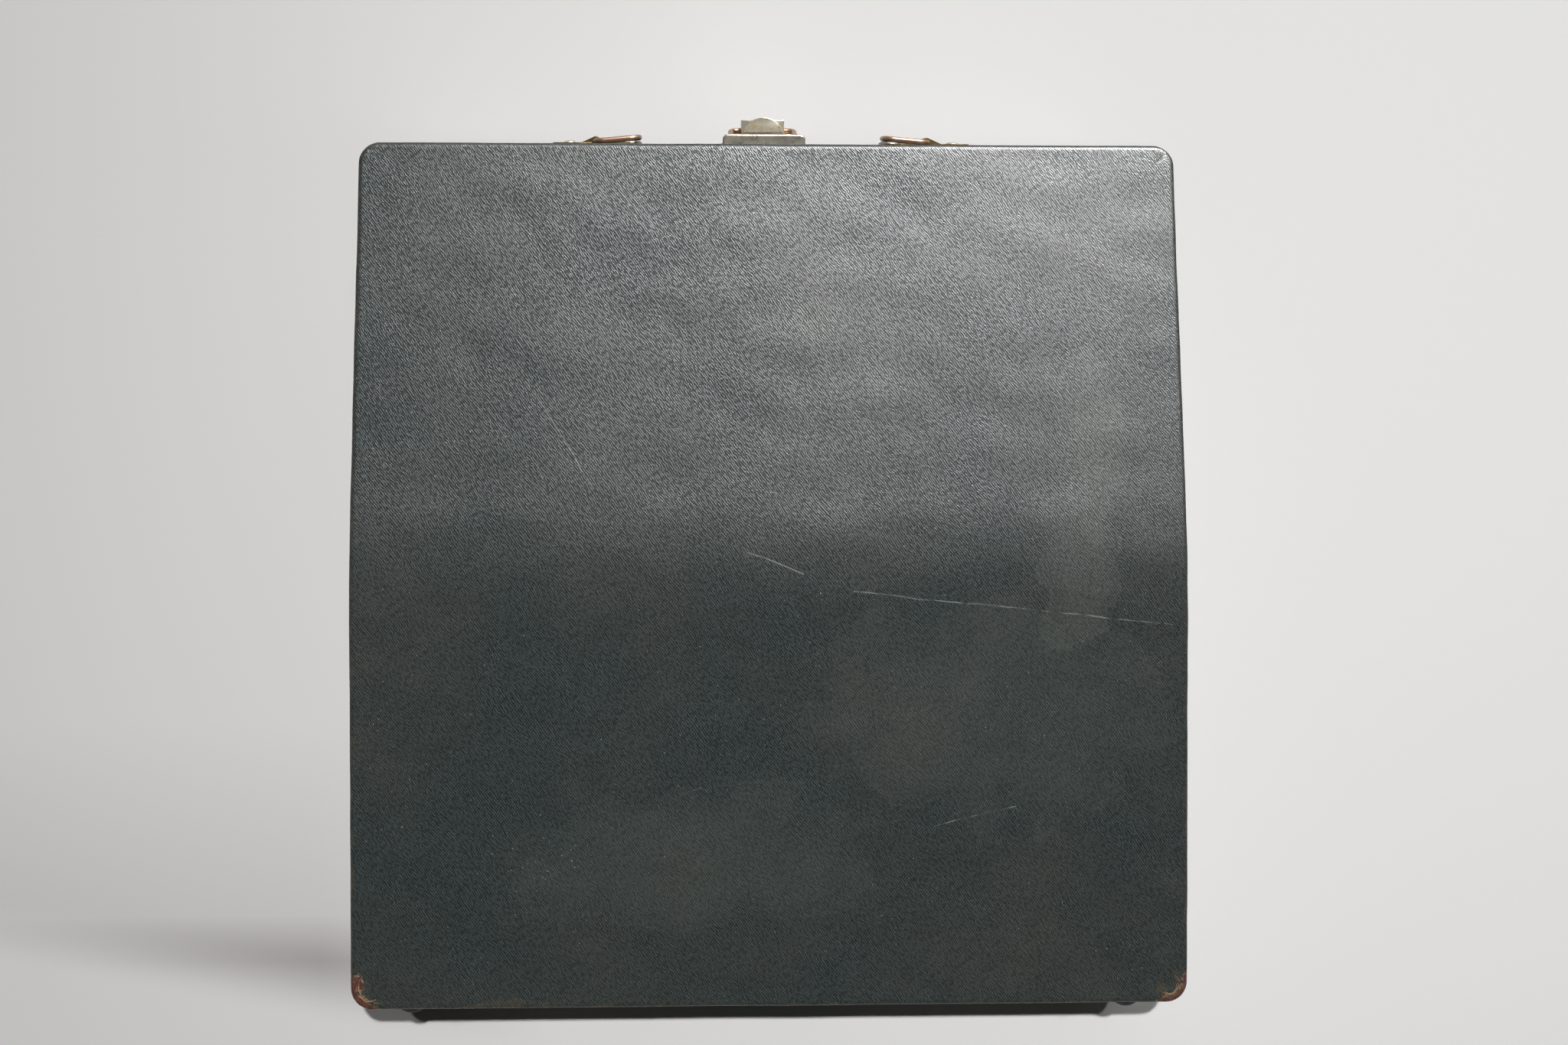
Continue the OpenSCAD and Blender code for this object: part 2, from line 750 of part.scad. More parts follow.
// One key's lever, from its hinge at the back to the post under the key
module key_lever(row, column) {
    y = key_y(row);
    translate([key_x(row, column), 0, 0]) difference() {
        along_x(lever_t) {
            polygon([[lever_pin[0] + 4, lever_low], [lever_pin[0] + 4, lever_high],
                [y + key_post_y / 2, lever_high], [y + key_post_y / 2, key_z(row)],
                [y - key_post_y / 2, key_z(row)], [y - key_post_y / 2, lever_low]]);
        }
        translate([0, lever_pin[0], lever_pin[1]]) rotate([0, 90, 0])
            cylinder(r = lever_pin_r + run, h = 4, center = true);
    }
}

// A round key top with a dished face
module key_top(row, column) {
    dish = 20;
    translate([key_x(row, column), key_y(row), key_z(row)]) rotate_extrude() difference() {
        union() {
            square([key_r, key_h - 1.2]);
            square([key_r - 1.2, key_h]);
            translate([key_r - 1.2, key_h - 1.2]) circle(1.2);
        }
        translate([0, key_h + dish - 0.8]) circle(dish, $fn = 128);
    }
}

module all_keys() {
    for (row = [0:rows - 1], column = [0:columns - 1])
        if (fixed_key(row, column)) {
            $row = row;
            $column = column;
            children();
        }
}

module key_comb() {
    color("gray") in_case() {
        difference() {
            translate([-side_x, comb_y, frame_z + 2]) cube([2 * side_x, 2, 22]);
            for (x = concat(side_levers, [for (k = [0:keys - 1]) (k - (keys - 1) / 2) * lever_gap]))
                translate([x - lever_t / 2 - 0.2, comb_y - 1, -1])
                    cube([lever_t + 0.4, 4, lever_high + 3.5]);
        }
        translate([0, lever_pin[0], lever_pin[1]]) rotate([0, 90, 0])
            cylinder(r = lever_pin_r, h = frame_w, center = true);
    }
}

module key_levers() {
    color("silver") in_case() all_keys() key_lever($row, $column);
}

module key_tops() {
    color("darkolivegreen") in_case() all_keys() key_top($row, $column);
}

module key_lever_left() {
    color("silver") in_case() key_lever(left_key[0], left_key[1]);
}

module key_lever_right() {
    color("silver") in_case() key_lever(right_key[0], right_key[1]);
}

module key_top_left() {
    color("darkolivegreen") in_case() key_top(left_key[0], left_key[1]);
}

module key_top_right() {
    color("darkolivegreen") in_case() key_top(right_key[0], right_key[1]);
}

module space_bar() {
    y = front_row_y - 19;
    color("darkolivegreen") in_case() {
        translate([0, y, front_row_z - 13]) rotate([0, 90, 0]) difference() {
            cylinder(r = 5, h = 120, center = true);
            translate([1, -10, -70]) cube([10, 20, 140]);
        }
        for (s = [-1, 1]) translate([s * space_arm_x, 0, 0]) difference() {
            along_x(lever_t) polygon([[lever_pin[0] + 4, lever_low], [lever_pin[0] + 4, lever_high],
                [y + 6, lever_high], [y - 2, 22], [y - 2, lever_low]]);
            translate([0, lever_pin[0], lever_pin[1]]) rotate([0, 90, 0])
                cylinder(r = lever_pin_r + run, h = 4, center = true);
        }
        translate([0, y - 1, 20]) rotate([0, 90, 0]) cylinder(r = 1.5, h = 2 * space_arm_x, center = true);
        for (s = [-1, 1]) translate([s * 40, y - 1, 20]) cylinder(r = 1.2, h = front_row_z - 33);
    }
}

module side_lever(x, y, z) {
    translate([x, 0, 0]) difference() {
        along_x(lever_t) polygon([[lever_pin[0] + 4, lever_low], [lever_pin[0] + 4, lever_high],
            [y + 2.5, lever_high], [y + 2.5, z], [y - 2.5, z], [y - 2.5, lever_low]]);
        translate([0, lever_pin[0], lever_pin[1]]) rotate([0, 90, 0])
            cylinder(r = lever_pin_r + run, h = 4, center = true);
    }
}

// A key top from x = a to x = b
module side_cap(a, b, row) {
    w = b - a;
    translate([(a + b) / 2, key_y(row), key_z(row)]) linear_extrude(key_h) {
        square([w, 2 * key_r - 5], center = true);
        square([w - 5, 2 * key_r], center = true);
        for (s = [-1, 1], t = [-1, 1]) translate([s * (w / 2 - 2.5), t * (key_r - 2.5)]) circle(2.5);
    }
}

module shift_levers() {
    color("silver") in_case() {
        for (x = shift_x) {
            side_lever(x, key_y(0), key_z(0));
            translate([x - lever_t / 2, lever_pin[0] + 3, lever_low]) cube([lever_t, 8, 6]);
        }
        translate([shift_x[0], lever_pin[0] + 9, lever_pin[1]]) rotate([0, 90, 0])
            cylinder(r = 2, h = shift_x[1] - shift_x[0]);
    }
}

module shift_key_tops() {
    color("darkolivegreen") in_case() {
        side_cap(-side_out, row_end(0, -1), 0);
        side_cap(row_end(0, 1), side_out, 0);
    }
}

module shift_lock() {
    color("darkolivegreen") in_case() {
        side_lever(shift_lock_x, key_y(1), key_z(1));
        side_cap(-side_out, row_end(1, -1), 1);
    }
}

module backspace_key() {
    color("darkolivegreen") in_case() {
        side_lever(backspace_x, key_y(3), key_z(3));
        side_cap(row_end(3, 1), side_out, 3);
    }
}

module margin_release_key() {
    color("darkolivegreen") in_case() {
        side_lever(margin_x, key_y(3), key_z(3));
        side_cap(-side_out, row_end(3, -1), 3);
    }
}

// Type basket: x, then out from the arc's middle towards the typist, then off its plane

module in_basket() {
    translate([0, arc_at[0], arc_at[1]]) rotate([tilt, 0, 0]) mirror([0, 1, 0]) children();
}

function bar_angle(k) = (k - (keys - 1) / 2) * bar_step;
function key_index(key) = round(key_x(key[0], key[1]) / lever_gap + (keys - 1) / 2);

// One bar with its type slug, lying in its slot
module typebar(k) {
    in_basket() rotate(-bar_angle(k)) translate([0, segment_r, 0]) rotate([rest_rise, 0, 0])
        along_x_thin() {
            circle(pivot_r);
            polygon([[0, -pivot_r], [12, -2.2], [bar_l - 8, -1.5], [bar_l + 1.5, -1.5],
                [bar_l + 1.5, 1.5], [bar_l - 8, 1.5], [12, 2.2], [0, pivot_r]]);
        }
    in_basket() rotate(-bar_angle(k)) translate([0, segment_r, 0]) rotate([rest_rise, 0, 0])
        translate([-1.5, bar_l - 4, 1.4]) cube([3, 8, 3.6]);
}

module along_x_thin() {
    rotate([90, 0, 90]) linear_extrude(bar_t, center = true) children();
}

module type_segment() {
    color("gray") in_case() {
        in_basket() difference() {
            rotate(90 - basket_span / 2 - 4) rotate_extrude(angle = basket_span + 8, $fn = 96)
                translate([segment_r - 5, -9]) square([10, 14]);
            for (k = [0:keys - 1]) rotate(-bar_angle(k))
                translate([-slot_w / 2, segment_r - 8, -3.2]) cube([slot_w, 16, 20]);
        }
        difference() {
            translate([-6, ribbon_y + 2.6, 45]) cube([12, 4, 21]);
            in_basket() translate([-50, -10, -20]) cube([100, 100, 11]);
        }
        in_basket() translate([-6, segment_r - 19, -9]) cube([12, 15, 3]);
    }
}

module typebars() {
    color("silver") in_case() for (k = [0:keys - 1])
        if (k != key_index(left_key) && k != key_index(right_key)) typebar(k);
}

module typebar_left() {
    color("silver") in_case() typebar(key_index(left_key));
}

module typebar_right() {
    color("silver") in_case() typebar(key_index(right_key));
}

// Ribbon

module spool(s) {
    color("silver") in_case() translate([s * spool_at[0], spool_at[1], spool_at[2]]) difference() {
        union() {
            cylinder(r = spool_r, h = 0.8);
            cylinder(r = spool_hub_r, h = spool_h);
            translate([0, 0, spool_h - 0.8]) cylinder(r = spool_r, h = 0.8);
        }
        translate([0, 0, -1]) cylinder(r = spool_pin_r + run, h = spool_h + 2);
        for (a = [0:60:300]) rotate(a) translate([12, 0, -1]) cylinder(r = 2.5, h = spool_h + 2);
    }
}

module ribbon_spool_left() {
    spool(-1);
}

module ribbon_spool_right() {
    spool(1);
}

module ribbon() {
    w = ribbon_w - 0.2;
    near = [18, ribbon_y];
    away = [spool_at[0] - 8.2, spool_at[1] + 9.8];
    color("maroon") in_case() translate([0, 0, ribbon_z]) {
        for (s = [-1, 1]) translate([s * spool_at[0], spool_at[1], 0]) difference() {
            cylinder(r = wound_r, h = w);
            translate([0, 0, -1]) cylinder(r = spool_hub_r + 0.2, h = w + 2);
        }
        linear_extrude(w) {
            translate([-near[0], ribbon_y - ribbon_t]) square([2 * near[0], ribbon_t]);
            for (s = [-1, 1]) polygon([[s * near[0], near[1]], [s * away[0], away[1]],
                [s * away[0], away[1] - ribbon_t], [s * near[0], near[1] - ribbon_t]]);
        }
    }
}

module ribbon_vibrator() {
    y = ribbon_y + 0.3;
    color("silver") in_case() {
        translate([-3, y + 1, 50]) cube([6, 1, 31]);
        translate([-15, y, 76]) cube([30, 2, 3]);
        for (s = [-1, 1]) translate([s > 0 ? 8 : -15, y, 76]) cube([7, 1, 20]);
    }
}

module ribbon_selector() {
    color("gray") in_case() translate(selector_at) {
        rotate([0, 90, 0]) cylinder(r = 4, h = 2, center = true);
        rotate([0, -90, 0]) cylinder(r = selector_pin_r, h = 6);
        translate([-1, -2, 0]) cube([2, 4, 42]);
        translate([0, 0, 42]) rotate([0, 90, 0]) cylinder(r = 4, h = 2.6, center = true);
    }
}

// Carriage

module carriage_rails() {
    color("silver") in_case() for (y = rail_y) translate([0, y, rail_z]) rotate([0, 90, 0])
        cylinder(r = rail_r, h = frame_w, center = true);
}

module carriage_frame() {
    y0 = platen_at[0];
    z0 = platen_at[1];
    color("dimgray") in_case() difference() {
        union() {
            translate([-end_x - 1, rail_y[0] - 6, bed_z])
                cube([2 * end_x + 2, rail_y[1] - rail_y[0] + 16, bed_t]);
            for (s = [-1, 1]) translate([s * (end_x + end_t / 2), 0, 0]) along_x(end_t) {
                translate(platen_at) circle(14);
                polygon([[y0 - 13, z0 - 4], [y0 + 2, z0 - 22], [rail_y[0] - 6, bed_z],
                    [rail_y[1] + 10, bed_z], [rail_y[1] + 10, z0 - 6], [y0 + 26, z0 + 12],
                    [y0 + 6, z0 + 20], [y0 - 6, z0 + 12]]);
            }
            for (s = [-1, 1], y = rail_y) translate([s * 60 - 9, y - 5, rail_z - 5])
                cube([18, 10, bed_z - rail_z + 6]);
            translate([-end_x - 1, stop_y - stop_bar[0] / 2, bed_z + bed_t - 0.5])
                cube([2 * end_x + 2, stop_bar[0], stop_bar[1]]);
            translate([space_lever_at[0], space_lever_at[1], space_lever_at[2] - 10])
                cylinder(r = stud_r, h = 13);
        }
        for (y = rail_y) translate([0, y, rail_z]) rotate([0, 90, 0])
            cylinder(r = rail_r + run, h = carriage_w, center = true);
        for (p = [[platen_at, shaft_r], [roller_at, roller_pin_r], [paper_bail_pin, bail_pin_r]])
            translate([0, p[0][0], p[0][1]]) rotate([0, 90, 0])
                cylinder(r = p[1] + run, h = big, center = true);
    }
}

module platen_piece() {
    translate([0, platen_at[0], platen_at[1]]) rotate([0, 90, 0]) children();
}

module platen() {
    color("black") in_case() platen_piece() difference() {
        cylinder(r = platen_r, h = platen_l, center = true, $fn = 96);
        cylinder(r = shaft_r + run, h = big, center = true);
    }
}

module platen_shaft() {
    color("silver") in_case() platen_piece()
        cylinder(r = shaft_r, h = 2 * (knob_x + knob_t - 2), center = true);
}

module platen_knobs() {
    color("black") in_case() for (s = [-1, 1]) platen_piece() translate([0, 0, s * knob_x])
        rotate([s > 0 ? 0 : 180, 0, 0]) difference() {
            rotate_extrude(angle = 360) intersection() {
                square([knob_r, knob_t]);
                translate([0, knob_t - 40]) circle(40, $fn = 128);
            }
            translate([0, 0, -1]) cylinder(r = shaft_r + run, h = knob_t - 1 + run);
        }
}

module line_space_lever() {
    tip = [-9, -66];
    color("silver") in_case() translate(space_lever_at) difference() {
        union() {
            translate([0, 0, -5]) cylinder(r = 4, h = 7);
            linear_extrude(2) polygon([[2, 0], [-1, -34], tip + [3, 0], tip + [-2, 0], [-7, -34], [-4, 0]]);
            translate([tip[0] - 2, tip[1] - 4, -5]) cube([1.6, 20, 12]);
        }
        translate([0, 0, -6]) cylinder(r = stud_r + run, h = 9);
    }
}

module paper_table() {
    y = platen_at[0] + platen_r + 3;
    z = platen_at[1];
    color("darkslategray") in_case() along_x(2 * end_x - 22)
        polygon([[y - 4, z - 14], [y + 1, z], [y + 13, z + 30], [y + 14.2, z + 30], [y + 2.2, z],
            [y + 12, z - 8], [y + 12, bed_z + bed_t], [y + 8, bed_z + bed_t], [y + 8, z - 9],
            [y + 2, z - 4], [y - 2.8, z - 14]]);
}

module paper_bail() {
    reach = paper_bail_rod - paper_bail_pin;
    arm_x = end_x - 2.2;
    arm_t = 2;
    arm_w = 2 * bail_rod_r + 2;
    color("silver") in_case() {
        translate([0, paper_bail_rod[0], paper_bail_rod[1]]) rotate([0, 90, 0]) {
            cylinder(r = bail_rod_r, h = 2 * arm_x + arm_t, center = true);
            for (x = [-50, 50]) translate([0, 0, x]) cylinder(r = bail_rod_r * 2, h = 10, center = true);
        }
        for (s = [-1, 1]) translate([s * arm_x, paper_bail_pin[0], paper_bail_pin[1]]) {
            rotate([atan2(reach[1], reach[0]), 0, 0]) difference() {
                translate([-arm_t / 2, 0, -arm_w / 2]) cube([arm_t, norm(reach) + arm_w / 2, arm_w]);
                translate([0, norm(reach), 0]) rotate([0, 90, 0])
                    cylinder(r = bail_rod_r + run, h = big, center = true);
            }
            translate([s * 2.5, 0, 0]) rotate([0, 90, 0])
                cylinder(r = bail_pin_r, h = 6, center = true);
        }
    }
}

module feed_roller() {
    color("black") in_case() translate([0, roller_at[0], roller_at[1]]) rotate([0, 90, 0]) {
        cylinder(r = roller_pin_r, h = 2 * (end_x + 1), center = true);
        for (x = [-75, -25, 25, 75]) translate([0, 0, x]) cylinder(r = roller_r, h = 28, center = true);
    }
}

module paper_release_lever() {
    color("silver") in_case() translate([carriage_w / 2 + 0.3 + 0.75, release_pin[0], release_pin[1]]) {
        along_x(1.5) {
            circle(4);
            polygon([[-3, 2], [-6, 24], [-1, 26], [3, 2]]);
        }
    }
}

module margin_stop(x) {
    color("silver") in_case() translate([x - 5, stop_y - 4.5, bed_z + bed_t + 0.1]) difference() {
        cube([10, 9, 9]);
        translate([-1, 4.5 - stop_bar[0] / 2 - run, -1])
            cube([12, stop_bar[0] + 2 * run, stop_bar[1] + 0.6 + run]);
    }
}

module margin_stop_left() {
    margin_stop(-70);
}

module margin_stop_right() {
    margin_stop(70);
}

module spring_drum() {
    color("gray") in_case() translate(drum_at) rotate([-90, 0, 0]) {
        translate([0, 0, -frame_t]) cylinder(r = drum_pin_r, h = 8);
        cylinder(r = drum_r, h = 5);
    }
}

module bell() {
    color("gold") in_case() translate([60, frame_back, 34]) rotate([-90, 0, 0]) {
        cylinder(r = 2.5, h = 2);
        translate([0, 0, 1]) difference() {
            domed_foot(13, 8);
            translate([0, 0, -1.5]) domed_foot(11.5, 7.5);
        }
        cylinder(r = 2.5, h = 7);
    }
}

base_tray();
base_lining();
lid_shell();
lid_lining();
hinge_leaves_base();
hinge_leaves_lid();
hinge_pins();
latch_plate();
latch_pin();
latch_lever();
latch_bail();
latch_keeper();
handle_plates();
handle_loop_left();
handle_loop_right();
front_rivets();
lid_back_feet();
base_back_feet();
base_feet();
machine_frame();
machine_bushes();
machine_screws();
body_shell();
ribbon_cover();
key_comb();
key_levers();
key_tops();
key_lever_left();
key_top_left();
key_lever_right();
key_top_right();
space_bar();
shift_levers();
shift_key_tops();
shift_lock();
backspace_key();
margin_release_key();
type_segment();
typebars();
typebar_left();
typebar_right();
ribbon_spool_left();
ribbon_spool_right();
ribbon();
ribbon_vibrator();
ribbon_selector();
carriage_rails();
carriage_frame();
platen();
platen_shaft();
platen_knobs();
line_space_lever();
paper_table();
paper_bail();
feed_roller();
paper_release_lever();
margin_stop_left();
margin_stop_right();
spring_drum();
bell();
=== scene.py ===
"""The looks of a portable typewriter in its cloth-covered carrying case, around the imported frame."""
import json
import logging
import math
from dataclasses import dataclass, field
from enum import Enum
from functools import cached_property
from typing import Any, Callable

import bmesh
import bpy
import numpy as np
from mathutils import Matrix, Vector

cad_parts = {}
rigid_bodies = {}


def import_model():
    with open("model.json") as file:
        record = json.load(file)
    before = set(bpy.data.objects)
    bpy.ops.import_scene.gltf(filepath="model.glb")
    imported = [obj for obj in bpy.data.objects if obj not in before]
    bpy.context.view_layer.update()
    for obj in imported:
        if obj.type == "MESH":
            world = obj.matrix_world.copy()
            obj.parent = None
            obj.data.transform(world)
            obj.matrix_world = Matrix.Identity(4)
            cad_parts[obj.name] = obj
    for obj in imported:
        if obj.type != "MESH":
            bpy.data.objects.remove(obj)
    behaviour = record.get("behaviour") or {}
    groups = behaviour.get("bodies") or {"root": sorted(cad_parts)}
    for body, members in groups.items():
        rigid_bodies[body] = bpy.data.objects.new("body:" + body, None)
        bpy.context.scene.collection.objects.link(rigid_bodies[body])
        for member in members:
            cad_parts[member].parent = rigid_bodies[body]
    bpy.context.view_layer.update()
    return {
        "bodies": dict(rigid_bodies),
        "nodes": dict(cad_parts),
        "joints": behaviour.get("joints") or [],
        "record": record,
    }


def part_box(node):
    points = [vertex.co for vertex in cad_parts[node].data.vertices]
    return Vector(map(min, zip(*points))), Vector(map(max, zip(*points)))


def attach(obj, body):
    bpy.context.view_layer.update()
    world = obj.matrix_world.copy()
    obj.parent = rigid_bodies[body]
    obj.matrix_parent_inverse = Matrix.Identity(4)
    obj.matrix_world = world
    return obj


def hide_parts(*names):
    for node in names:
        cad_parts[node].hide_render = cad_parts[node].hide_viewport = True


LOG = logging.getLogger("typewriter_case")
MM = 0.001
UNFOLD = "unfold"
WEAR = "wear"
BARE = "bare"
SEAM_WELD_MM = 0.002
CAD_WELD_MM = 0.001
CAD_FLAT_DEG = 0.5
SHARP_DEG = 40.0
CAD_SHARP_DEG = 30.0
BEVEL_STEPS = 2
Socket = bpy.types.NodeSocket
Plug = float | tuple[float, ...] | Socket


def colour(code: str) -> tuple[float, float, float, float]:
    """Turns an sRGB hex value into the linear colour that a shader takes.

    Args:
        code: the colour as "#rrggbb".

    Returns:
        Linear red, green and blue, and an alpha of one.
    """
    parts = [int(code[i:i + 2], 16) / 255 for i in (1, 3, 5)]
    knee, power = 0.04045, 2.4
    red, green, blue = (c / 12.92 if c <= knee else ((c + 0.055) / 1.055) ** power for c in parts)
    return red, green, blue, 1.0


class Graph:
    """The node tree of one material or of the world."""

    def __init__(self, owner: bpy.types.Material | bpy.types.World, output: str = "OutputMaterial") -> None:
        """Starts an empty tree with its output node.

        Args:
            owner: the material or the world.
            output: the output node's type without its ShaderNode prefix.
        """
        owner.use_nodes = True
        self.tree = owner.node_tree
        self.tree.nodes.clear()
        self.output = self.tree.nodes.new("ShaderNode" + output)

    @cached_property
    def place(self) -> Socket:
        """The place on the object in metres, from the frame's origin."""
        return self.add("TexCoord", out="Object")

    def add(self, kind: str, plugs: dict[int | str, Plug] | None = None, out: int | str = 0,
            **settings: Any) -> Socket:
        """Adds a node with its settings and links.

        Args:
            kind: the node's type without its ShaderNode prefix.
            plugs: a value or a socket for each input, by name or number.
            out: the output that is wanted.
            settings: the node's own properties.

        Returns:
            The wanted output socket.
        """
        node = self.tree.nodes.new("ShaderNode" + kind)
        for name, value in settings.items():
            setattr(node, name, value)
        for key, value in (plugs or {}).items():
            if isinstance(value, Socket):
                self.tree.links.new(value, node.inputs[key])
            else:
                node.inputs[key].default_value = value
        return node.outputs[out]

    def close(self, shader: Socket) -> None:
        """Links the finished shader to the output."""
        self.tree.links.new(shader, self.output.inputs["Surface"])


@dataclass(frozen=True)
class Finish:
    """One surface finish; its material is built once."""

    name: str

    def paint(self, graph: Graph) -> Socket:
        """Adds the finish's nodes.

        Args:
            graph: the material's tree.

        Returns:
            The shader.
        """
        raise NotImplementedError

    def material(self) -> bpy.types.Material:
        """Finds the finish's material, which is built on its first use.

        Returns:
            The material.
        """
        known = bpy.data.materials.get(self.name)
        if known:
            return known
        material = bpy.data.materials.new(self.name)
        graph = Graph(material)
        graph.close(self.paint(graph))
        return material

    def dress(self, thing: bpy.types.Object) -> bpy.types.Object:
        """Puts the finish on an object, in place of what it had.

        Args:
            thing: the object.

        Returns:
            The same object.
        """
        thing.data.materials.clear()
        thing.data.materials.append(self.material())
        return thing


@dataclass(frozen=True)
class Mark:
    """A pale mark on the lid where water has dried, for one mark partly a painted reflection: middle and half
    sizes in millimetres, its rim's share, its strength.
    """

    x: float
    y: float
    across: float
    along: float
    rim: float
    strength: float


@dataclass(frozen=True)
class Stroke:
    """A straight scratch on the lid: its ends and its half width, in millimetres."""

    start: tuple[float, float]
    end: tuple[float, float]
    width: float


@dataclass(frozen=True)
class GrainedLeathercloth(Finish):
    """Coated cotton, embossed with short slanting ridges: dark grey-green with a broad, greasy sheen.

    The grain has the photograph's pitch, and its ridges catch more light than the grooves between them. At
    the torn corners the brown fibre of the board shows, with broken ends of cream thread round it.
    """

    deep: str = "#121919"
    ridge: str = "#2e3938"
    tint: str = "#37332b"
    # the pale colour of dusty specks, scratches and dried marks, and of one painted reflection
    dust_and_reflection: str = "#9a9c92"
    fibre: str = "#7d4631"
    char: str = "#28130c"
    thread: str = "#a18c68"
    rubbed: str = "#4d4130"
    pitch_mm: float = 0.8
    slant_deg: float = -37.0
    depth_mm: float = 0.035
    wander_mm: float = 26.0
    wander_turns: float = 4.0
    jitter_mm: tuple[float, float] = (1.2, 1.5)
    jitter_turns: float = 1.2
    dash_mm: tuple[float, float] = (0.8, 1.7)
    cloud_mm: float = 70.0
    mottle_mm: float = 9.0
    speck_mm: float = 0.75
    sparse_mm: float = 45.0
    tear_mm: float = 6.0
    broken_mm: float = 1.6
    strand_mm: tuple[float, float] = (0.45, 2.4)
    stain_edge_mm: float = 22.0
    wobble_mm: float = 4.0
    wobble_every_mm: float = 30.0
    skip_mm: float = 5.0
    unfolded: bool = True
    stains_and_reflection: tuple[Mark, ...] = ()
    strokes: tuple[Stroke, ...] = ()

    def ridges(self, graph: Graph, place: Socket) -> Socket:
        """Height of the embossed grain: a sine across the slant, broken into short lengths.

        The sine's phase wanders slowly and jitters quickly, so that the ridges fork and bend.

        Args:
            graph: the material's tree.
            place: coordinates in metres.

        Returns:
            The height, from 0 to about 1.
        """
        turned = graph.add("Mapping", {"Vector": place, "Rotation": (0, 0, math.radians(self.slant_deg))})
        wander = graph.add("TexNoise", {"Vector": turned, "Scale": 1 / (self.wander_mm * MM), "Detail": 1.0})
        cells = []
        for wide, long in (self.jitter_mm, self.dash_mm):
            cell = graph.add("Mapping", {"Vector": turned, "Scale": (1 / (wide * MM), 1 / (long * MM), 1)})
            cells.append(graph.add("TexNoise", {"Vector": cell, "Scale": 1.0, "Detail": 1.0}))
        jitter, lengths = cells
        across = graph.add("SeparateXYZ", {"Vector": turned}, out="X")
        phase = graph.add("Math", {0: across, 1: 1 / (self.pitch_mm * MM)}, operation="MULTIPLY")
        for shift, turns in ((wander, self.wander_turns), (jitter, self.jitter_turns)):
            phase = graph.add("Math", {0: shift, 1: turns, 2: phase}, operation="MULTIPLY_ADD")
        wave = graph.add("Math", {0: phase, 1: 2 * math.pi}, operation="MULTIPLY")
        wave = graph.add("Math", {0: wave}, operation="SINE")
        wave = graph.add("MapRange", {"Value": wave, "From Min": -0.9, "From Max": 0.9})
        lengths = graph.add("MapRange", {"Value": lengths, "From Min": 0.38, "From Max": 0.54, "To Min": 0.4})
        return graph.add("Math", {0: wave, 1: lengths}, operation="MULTIPLY")

    def stain_and_reflection_mask(self, graph: Graph, mark: Mark) -> Socket:
        """Mask of a pale mark where water has dried, for one mark partly a painted reflection: pale inside a
        wandering outline, a little paler along it.

        The reach is the distance from the stain's middle in its half sizes, plus noise.

        Args:
            graph: the material's tree.
            mark: the stain.

        Returns:
            The mask, from 0 to the stain's strength.
        """
        scale = (1 / (mark.across * MM), 1 / (mark.along * MM), 0)
        middle = (-mark.x / mark.across, -mark.y / mark.along, 0)
        local = graph.add("Mapping", {"Vector": graph.place, "Location": middle, "Scale": scale})
        reach = graph.add("VectorMath", {0: local}, out="Value", operation="LENGTH")
        rough = graph.add("TexNoise", {"Vector": graph.place, "Scale": 1 / (self.stain_edge_mm * MM),
                                       "Detail": 5.0})
        reach = graph.add("Math", {0: rough, 1: 1.3, 2: reach}, operation="MULTIPLY_ADD")
        inside = graph.add("MapRange", {"Value": reach, "From Min": 1.15, "From Max": 1.7, "To Min": 1.0,
                                        "To Max": 0.0}, interpolation_type="SMOOTHSTEP")
        off = graph.add("Math", {0: reach, 1: 1.5}, operation="SUBTRACT")
        off = graph.add("Math", {0: off}, operation="ABSOLUTE")
        rim = graph.add("MapRange", {"Value": off, "From Min": 0.0, "From Max": mark.rim, "To Min": 0.35,
                                     "To Max": 0.0}, interpolation_type="SMOOTHSTEP")
        both = graph.add("Math", {0: inside, 1: 0.65, 2: rim}, operation="MULTIPLY_ADD")
        return graph.add("Math", {0: both, 1: mark.strength}, operation="MULTIPLY")

    def scratch(self, graph: Graph, stroke: Stroke) -> Socket:
        """Mask of a scratch: the distance to a line segment, thinned by noise along it.

        Args:
            graph: the material's tree.
            stroke: the scratch.

        Returns:
            The mask, from 0 to 1.
        """
        start = np.array([*stroke.start, 0.0]) * MM
        line = np.array([*stroke.end, 0.0]) * MM - start
        flat = graph.add("VectorMath", {0: graph.place, 1: (1, 1, 0)}, operation="MULTIPLY")
        wobble = graph.add("TexNoise", {"Vector": flat, "Scale": 1 / (self.wobble_every_mm * MM),
                                        "Detail": 2.0}, out="Color")
        sway = self.wobble_mm * MM
        wobble = graph.add("VectorMath", {0: wobble, 1: (sway, sway, 0)}, operation="MULTIPLY")
        flat = graph.add("VectorMath", {0: flat, 1: wobble}, operation="ADD")
        away = graph.add("VectorMath", {0: flat, 1: tuple(start)}, operation="SUBTRACT")
        share = graph.add("VectorMath", {0: away, 1: tuple(line / (line @ line))}, out="Value",
                          operation="DOT_PRODUCT")
        share = graph.add("Clamp", {"Value": share})
        nearest = graph.add("VectorMath", {0: tuple(line), "Scale": share}, operation="SCALE")
        off = graph.add("VectorMath", {0: away, 1: nearest}, operation="SUBTRACT")
        off = graph.add("VectorMath", {0: off}, out="Value", operation="LENGTH")
        thin = graph.add("MapRange", {"Value": off, "From Min": 0.0, "From Max": stroke.width * MM,
                                      "To Min": 1.0, "To Max": 0.0})
        skips = graph.add("TexNoise", {"Vector": graph.place, "Scale": 1 / (self.skip_mm * MM),
                                       "Detail": 3.0})
        skips =graph.add("MapRange", {"Value": skips, "From Min": 0.35, "From Max": 0.6})
        return graph.add("Math", {0: thin, 1: skips}, operation="MULTIPLY")

